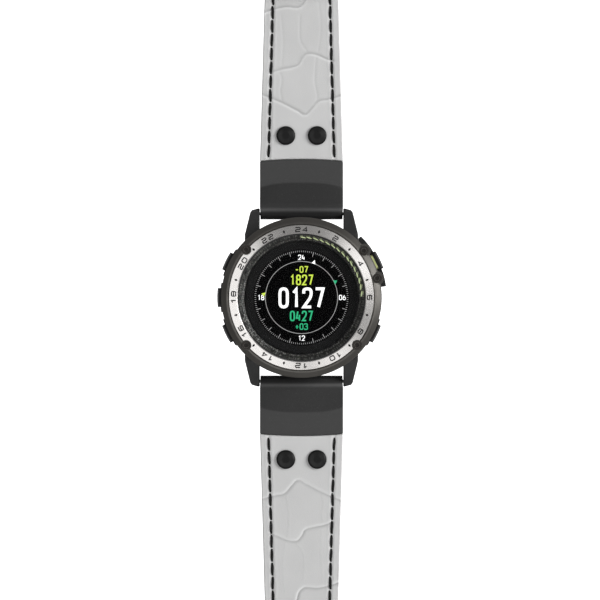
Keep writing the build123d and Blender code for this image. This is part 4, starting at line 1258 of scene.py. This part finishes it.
def keeper(name, body):
    """A band round the strap that fills its CAD solid's box."""
    low, high = box_mm(name)
    length = high[1] - low[1]
    middle_y = (low[1] + high[1]) / 2
    half = high[0] - band_thick / 2
    bottom = low[2] + band_thick / 2
    top = high[2] - band_thick / 2
    corners = [(half, bottom, band_bend), (half, top, band_bend),
               (-half, top, band_bend), (-half, bottom, band_bend)]
    path = []
    base = rounded(corners, 8)
    for a, b in zip(base, base[1:] + base[:1]):
        pieces_in_run = max(1, int(hypot(b[0] - a[0], b[1] - a[1]) / band_step))
        path += [(a[0] + (b[0] - a[0]) * k / pieces_in_run, a[1] + (b[1] - a[1]) * k / pieces_in_run)
                 for k in range(pieces_in_run)]
    wide, deep = length / 2, band_thick / 2
    section = rounded([(-wide, -deep, band_round), (wide, -deep, band_round),
                       (wide, deep, band_round), (-wide, deep, band_round)], 4)
    fuller = []
    for a, b in zip(section, section[1:] + section[:1]):
        fuller += [(a[0] + (b[0] - a[0]) * k / 6, a[1] + (b[1] - a[1]) * k / 6)
                   for k in range(6 if hypot(b[0] - a[0], b[1] - a[1]) > 2 else 1)]
    shells = {}
    for _, out in fuller:
        key = round(out, 4)
        if key not in shells:
            shells[key] = shifted(path, -out, closed=True)
    loops = []
    for k in range(len(path)):
        loop = []
        for along_y, out in fuller:
            x, z = shells[round(out, 4)][k]
            loop.append((x, middle_y + along_y, z))
        loops.append(loop)
    new_piece(name + "_band", *loft(loops, ring=True), "keeper_leather", body, [name], False, 60)


keeper("fixed_keeper", "upper_strap")
keeper("loose_keeper", "loose_keeper")

# %% [markdown]
# ## The woven inner ring
#
# Between the crystal's rim and the display is a sloping ring with a surface like fine woven carbon. Its
# strands lie little more than a millimetre apart, but they catch the light one by one, so they are real
# relief: two families of slanted strands, each passing over the other in turn.

# %% Weave the ring
ring_low, ring_high = box_mm("inner_ring")
slope_in = 17.85
slope_out = 19.4
slope_foot = ring_low[2] + 0.6
strand_count = 84
strand_lean = 1.4
weave_relief = 0.15
weave_sunk = 0.13
weave_steps = 1260
slope_steps = 30
slope_run = hypot(slope_out - slope_in, ring_high[2] - slope_foot)
normal_r = -(ring_high[2] - slope_foot) / slope_run
normal_z = (slope_out - slope_in) / slope_run


def weave_height(turn_share, along):
    """Height of the weave at a share of a turn and a distance up the slope."""
    first = strand_count * turn_share + along / strand_lean
    second = strand_count * turn_share - along / strand_lean
    over = 0.5 + 0.5 * sin(pi * (first + second))
    strand_a = abs(sin(pi * first)) ** 0.7
    strand_b = abs(sin(pi * second)) ** 0.7
    return weave_relief * max(strand_a * over, strand_b * (1 - over))


def on_slope(up_slope, lift):
    """(radius, level) on the sloping ring at a share of its width, lifted off its surface."""
    radius = slope_in + (slope_out - slope_in) * up_slope + normal_r * lift
    level = slope_foot + (ring_high[2] - slope_foot) * up_slope + normal_z * lift
    return radius, level


weave_loops = []
for step in range(weave_steps):
    share = step / weave_steps
    angle = 2 * pi * share
    outline = [(slope_in, ring_low[2]), (ring_high[0], ring_low[2]), (ring_high[0], ring_high[2])]
    for k in range(slope_steps + 1):
        up_slope = 1 - k / slope_steps
        edge = min(1.0, 6 * up_slope, 6 * (1 - up_slope))
        lift = (weave_height(share, slope_run * up_slope) - weave_sunk) * edge
        outline.append(on_slope(up_slope, lift))
    weave_loops.append([(r * cos(angle), r * sin(angle), z) for r, z in outline])
woven = new_piece("woven_inner_ring", *loft(weave_loops, ring=True), "carbon_weave", "case", ["inner_ring"],
                  False, 60)
strand_top = woven.data.attributes.new("strand_top", "FLOAT", "POINT")
for vertex, value in zip(woven.data.vertices, strand_top.data):
    x, y, z = (part / MM for part in vertex.co)
    radius = hypot(x, y)
    share = (atan2(y, x) / (2 * pi)) % 1.0
    up_slope = (radius - slope_in) / (slope_out - slope_in)
    fleck = 0.30 + 1.5 * noise.noise(Vector((share * 300, up_slope * 4.0, 0.5)))
    top_share = (weave_height(share, slope_run * up_slope) / weave_relief) ** 3
    value.value = max(0.0, min(1.0, top_share * (0.15 + fleck)))

# The weave is painted dark between the strands, as shade; each strand top keeps the plain colour, brighter or
# darker at random.
weave_tree = finishes["carbon_weave"].node_tree
weave_color = base_color("carbon_weave")
plain_weave = weave_color.links[0].from_socket
strand_tops = stored_value(weave_tree, "strand_top")
painted_shade_between_strands = mix_color(weave_tree, strand_tops, (0.010, 0.010, 0.009, 1), plain_weave)
weave_tree.links.new(painted_shade_between_strands, weave_color)

# %% [markdown]
# A yellow-green thread is laid into the weave over the first quarter of the dial. It is a row of fifteen
# short slanted lengths, nearly end to end, which get a little thicker towards the right. Its finish is given
# a faint glow of its own, painted light that makes it brighter.


# %% Lay the coloured thread
thread_parts = []
thread_count = 15
thread_middle = 0.57
thread_lean = 0.20
for index in range(thread_count):
    along = index / (thread_count - 1)
    centre = radians(88.5 - 6.05 * index + 0.8 * noise.noise(Vector((index * 2.3, 1.0, 6.0))))
    reach = radians(2.7 + 0.5 * noise.noise(Vector((index * 0.9, 4.0, 1.0))))
    wide = 0.125 + 0.045 * along
    middle = thread_middle + 0.05 * noise.noise(Vector((index * 1.3, 9.0, 2.0)))
    loops = []
    for step in range(13):
        t = step / 12
        fat = wide * sin(pi * (0.04 + 0.92 * t)) ** 0.5
        angle = centre + reach * (1 - 2 * t)
        place_up = middle + thread_lean * (0.5 - t)
        loop = []
        for k in range(8):
            turn_angle = 2 * pi * k / 8
            spread_up = fat / slope_run * 1.9 * cos(turn_angle)
            radius, level = on_slope(place_up + spread_up, 0.04 + 0.6 * fat * sin(turn_angle))
            loop.append((radius * cos(angle), radius * sin(angle), level))
        loops.append(loop)
    thread_parts.append(loft(loops))
accent_thread = new_piece("ring_accent_thread", *joined(thread_parts), "dyed_thread", "case", (), False, 60)

# %% [markdown]
# ## Numbers and marks
#
# The steel ring carries the hours of a whole day: square black figures for the even hours, and small marks
# for the odd ones. Printed figures have a thickness of a few hundredths of a millimetre, so they are thin
# solid shapes on the surface. Each figure is a few strokes, and a stroke is a ribbon of even width. A stroke
# is a row of (across, up, corner radius) points, and one that starts with a rounded corner closes on itself.

# %% Square figures as strokes
square_figures = {
    "0": [[(0, 0, 0.3), (1, 0, 0.3), (1, 1, 0.3), (0, 1, 0.3)]],
    "1": [[(0.2, 0.74, 0), (0.62, 1, 0.0), (0.62, 0, 0)]],
    "2": [[(0, 1, 0), (1, 1, 0.3), (1, 0.5, 0.3), (0, 0.5, 0.3), (0, 0, 0.0), (1, 0, 0)]],
    "4": [[(0.74, 0, 0), (0.74, 1, 0), (0, 0.3, 0), (1, 0.3, 0)]],
    "6": [[(1, 1, 0), (0, 1, 0.3), (0, 0, 0.3), (1, 0, 0.3), (1, 0.55, 0.3), (0.0, 0.55, 0)]],
    "8": [[(0, 0, 0.3), (1, 0, 0.3), (1, 1, 0.3), (0, 1, 0.3)], [(0, 0.52, 0), (1, 0.52, 0)]],
}


def ribbon(path, width, closed=False):
    """(left edge, right edge) of an even stroke along a path."""
    return shifted(path, width / 2, closed), shifted(path, -width / 2, closed)


def stroke_solid(path, width, thick, closed=False):
    """A thin solid stroke in the plane, from height 0 to thick."""
    left, right = ribbon(path, width, closed)
    loops = []
    for a, b in zip(left, right):
        loops.append([(a[0], a[1], 0), (b[0], b[1], 0), (b[0], b[1], thick), (a[0], a[1], thick)])
    return loft(loops, ring=closed)


def figures(shapes, text, width, height, gap, stroke, thick):
    """A row of figures, centred on the origin."""
    total = len(text) * width + (len(text) - 1) * gap
    parts = []
    for index, letter in enumerate(text):
        left = -total / 2 + index * (width + gap) + stroke / 2
        for corners in shapes[letter]:
            closed = corners[0][2] > 0
            scaled = [(left + a * (width - stroke), (b - 0.5) * (height - stroke), r * (height - stroke))
                      for a, b, r in corners]
            parts.append(stroke_solid(rounded(scaled, 4, closed), stroke, thick, closed))
    return joined(parts)


# %% Print the hours on the steel ring
_, hours_high = box_mm("hour_ring")
ring_crest = hours_high[2]
crest_radius = 20.15
ring_fall = 0.6 / (hours_high[0] - crest_radius)
figure_radius = 21.15
figure_width = 1.76
figure_height = 1.64
figure_gap = 0.5
figure_stroke = 0.34
print_thick = 0.03
print_lift = 0.004
mark_corners = [(0, 0.6, 0.2), (0.42, -0.05, 0.25), (0, -0.6, 0.2), (-0.42, -0.05, 0.25)]
mark_inwards = 0.05


def on_ring(u, v, lift, angle):
    """A place on the steel ring; u runs clockwise and v outwards from the figure's middle."""
    radius = figure_radius + v
    turned_by = angle - u / figure_radius
    level = ring_crest - ring_fall * max(0.0, radius - crest_radius) + lift
    return (radius * cos(turned_by), radius * sin(turned_by), level)


ring_parts = []
for hour in range(2, 25, 2):
    angle = radians(90 - 15 * hour)
    points, faces = figures(square_figures, str(hour), figure_width, figure_height, figure_gap,
                            figure_stroke, print_thick)
    ring_parts.append(([on_ring(x, y, z + print_lift, angle) for x, y, z in points], faces))
for hour in range(1, 24, 2):
    angle = radians(90 - 15 * hour)
    mark = rounded(mark_corners, 3)
    points, faces = loft([[(x, y, z) for x, y in mark] for z in (0, print_thick)])
    ring_parts.append(([on_ring(x, y - mark_inwards, z + print_lift, angle) for x, y, z in points], faces))
new_piece("hour_ring_figures", *joined(ring_parts), "print_black", "case", (), False, 30)

# %% [markdown]
# ## The display
#
# The display shows the local time in large white figures, two other times in colour, a ring with a tick for
# every ten minutes of the day, and four hours. Its figures are narrow, with round corners, and every one
# takes the same room, as on a real display. They are strokes too, so their weight is one number. A dark
# border hides the display's edge.

# %% Border, circle and ticks
face_level = panel_high[2]
glow_thick = 0.012
border_inner = 15.0
circle_inner = 11.15
circle_outer = 11.33
tick_count = 144
ticks_an_hour = 6
long_tick = (13.15, 14.65, 0.17)
short_tick = (14.12, 14.62, 0.14)


def flat_ring(inner, outer, low, high, steps=256):
    """A thin ring on the dial axis."""
    loops = []
    for step in range(steps):
        angle = 2 * pi * step / steps
        loops.append([(r * cos(angle), r * sin(angle), z) for r, z in
                      ((inner, low), (outer, low), (outer, high), (inner, high))])
    return loft(loops, ring=True)


finish("display_border", (0.0095, 0.0095, 0.0098, 1), 0.5, size=0.2, depth=0.002, contrast=0.12, patch=6.0,
       Specular_IOR_Level=0.05)
border_ring = flat_ring(border_inner, panel_high[0] - 0.05, face_level + 0.004, face_level + 0.05)
border = new_piece("display_border", *border_ring, "display_border", "case", (), False, 30)

glow_level = face_level + 0.006
tick_parts = [flat_ring(circle_inner, circle_outer, glow_level, glow_level + glow_thick)]
for index in range(tick_count):
    angle = 2 * pi * index / tick_count
    at_hour = index % ticks_an_hour == 0
    at_number = index % (tick_count // 4) == 0
    inner, outer, wide = long_tick if at_hour and not at_number else short_tick
    radial, tangent = (cos(angle), sin(angle)), (-sin(angle), cos(angle))
    loop = [(r * radial[0] + s * tangent[0], r * radial[1] + s * tangent[1])
            for r, s in ((inner, -wide / 2), (outer, -wide / 2), (outer, wide / 2), (inner, wide / 2))]
    tick_parts.append(loft([[(x, y, z) for x, y in loop] for z in (glow_level, glow_level + glow_thick)]))
lit("tick_grey", (0.28, 0.28, 0.28, 1), 0.95)
ticks = new_piece("display_ticks", *joined(tick_parts), "tick_grey", "case", (), False, 30)


# %% Figures on the display
display_figures = {
    "0": [[(0, 0, 0.26), (1, 0, 0.26), (1, 1, 0.26), (0, 1, 0.26)]],
    "1": [[(0.22, 0.78, 0), (0.62, 1, 0), (0.62, 0, 0)]],
    "2": [[(0, 0.74, 0), (0, 1, 0.24), (1, 1, 0.24), (1, 0.58, 0.2), (0, 0, 0), (1, 0, 0)]],
    "3": [[(0, 0.82, 0), (0, 1, 0.2), (0.96, 1, 0.2), (0.96, 0.54, 0.2), (0.36, 0.54, 0)],
          [(0.42, 0.54, 0), (1, 0.54, 0.2), (1, 0, 0.2), (0, 0, 0.2), (0, 0.18, 0)]],
    "4": [[(0.36, 1, 0), (0, 0.27, 0), (1, 0.27, 0)], [(0.78, 0.62, 0), (0.78, 0, 0)]],
    "6": [[(0, 0, 0.25), (1, 0, 0.25), (1, 0.6, 0.25), (0, 0.6, 0.25)], [(0.02, 0.4, 0), (0.62, 1, 0)]],
    "7": [[(0, 1, 0), (1, 1, 0), (0.38, 0, 0)]],
    "8": [[(0, 0, 0.24), (1, 0, 0.24), (1, 0.53, 0.24), (0, 0.53, 0.24)],
          [(0.06, 0.53, 0.2), (0.94, 0.53, 0.2), (0.94, 1, 0.2), (0.06, 1, 0.2)]],
    "-": [[(0.1, 0.44, 0), (0.9, 0.44, 0)]],
    "+": [[(0.04, 0.44, 0), (0.96, 0.44, 0)], [(0.5, 0.12, 0), (0.5, 0.76, 0)]],
}


gap_share = 0.077


def display_text(name, text, x, y, height, stroke, share, slot):
    """Figures centred at a place on the display; share is a figure's width over its height."""
    points, faces = figures(display_figures, text, share * height, height, gap_share * height,
                            stroke, glow_thick)
    placed = [(x + a, y + b, glow_level + c) for a, b, c in points]
    piece = new_piece(name, placed, faces, slot, "case", (), False, 30)


display_text("time_home", "0127", 0.0, -0.12, 6.55, 0.90, 0.49, "display_white")
display_text("time_second", "1827", 0.0, 5.48, 3.35, 0.46, 0.485, "display_yellow")
display_text("time_third", "0427", -0.05, -5.75, 3.3, 0.46, 0.485, "display_green")
display_text("offset_second", "-07", 0.0, 8.73, 2.1, 0.34, 0.60, "display_yellow")
display_text("offset_third", "+03", 0.0, -9.05, 2.05, 0.32, 0.60, "display_green")
for text, x, y in (("24", 0, 12.5), ("06", 12.72, 0), ("12", 0, -12.65), ("18", -12.65, 0)):
    display_text("display_hour_" + text, text, x, y, 1.68, 0.25, 0.60, "display_white")

# %% Pointers on the display
pointer_corners = [(0.0, 0.75), (-0.62, -0.5), (0.62, -0.5)]


def pointer(name, x, y, direction, slot):
    """A small triangle on the display's circle."""
    turn_by = radians(direction)
    loop = []
    for a, b in pointer_corners:
        loop.append((x + a * cos(turn_by) - b * sin(turn_by), y + a * sin(turn_by) + b * cos(turn_by)))
    layers = [[(a, b, z) for a, b in loop] for z in (glow_level, glow_level + 2 * glow_thick)]
    piece = new_piece(name, *loft(layers), slot, "case", (), False, 30)


pointer("pointer_home", 3.9, 11.0, -20, "display_white")
pointer("pointer_second", -11.7, 1.1, -50, "display_yellow")
pointer("pointer_third", 10.5, 4.8, 180, "display_green")
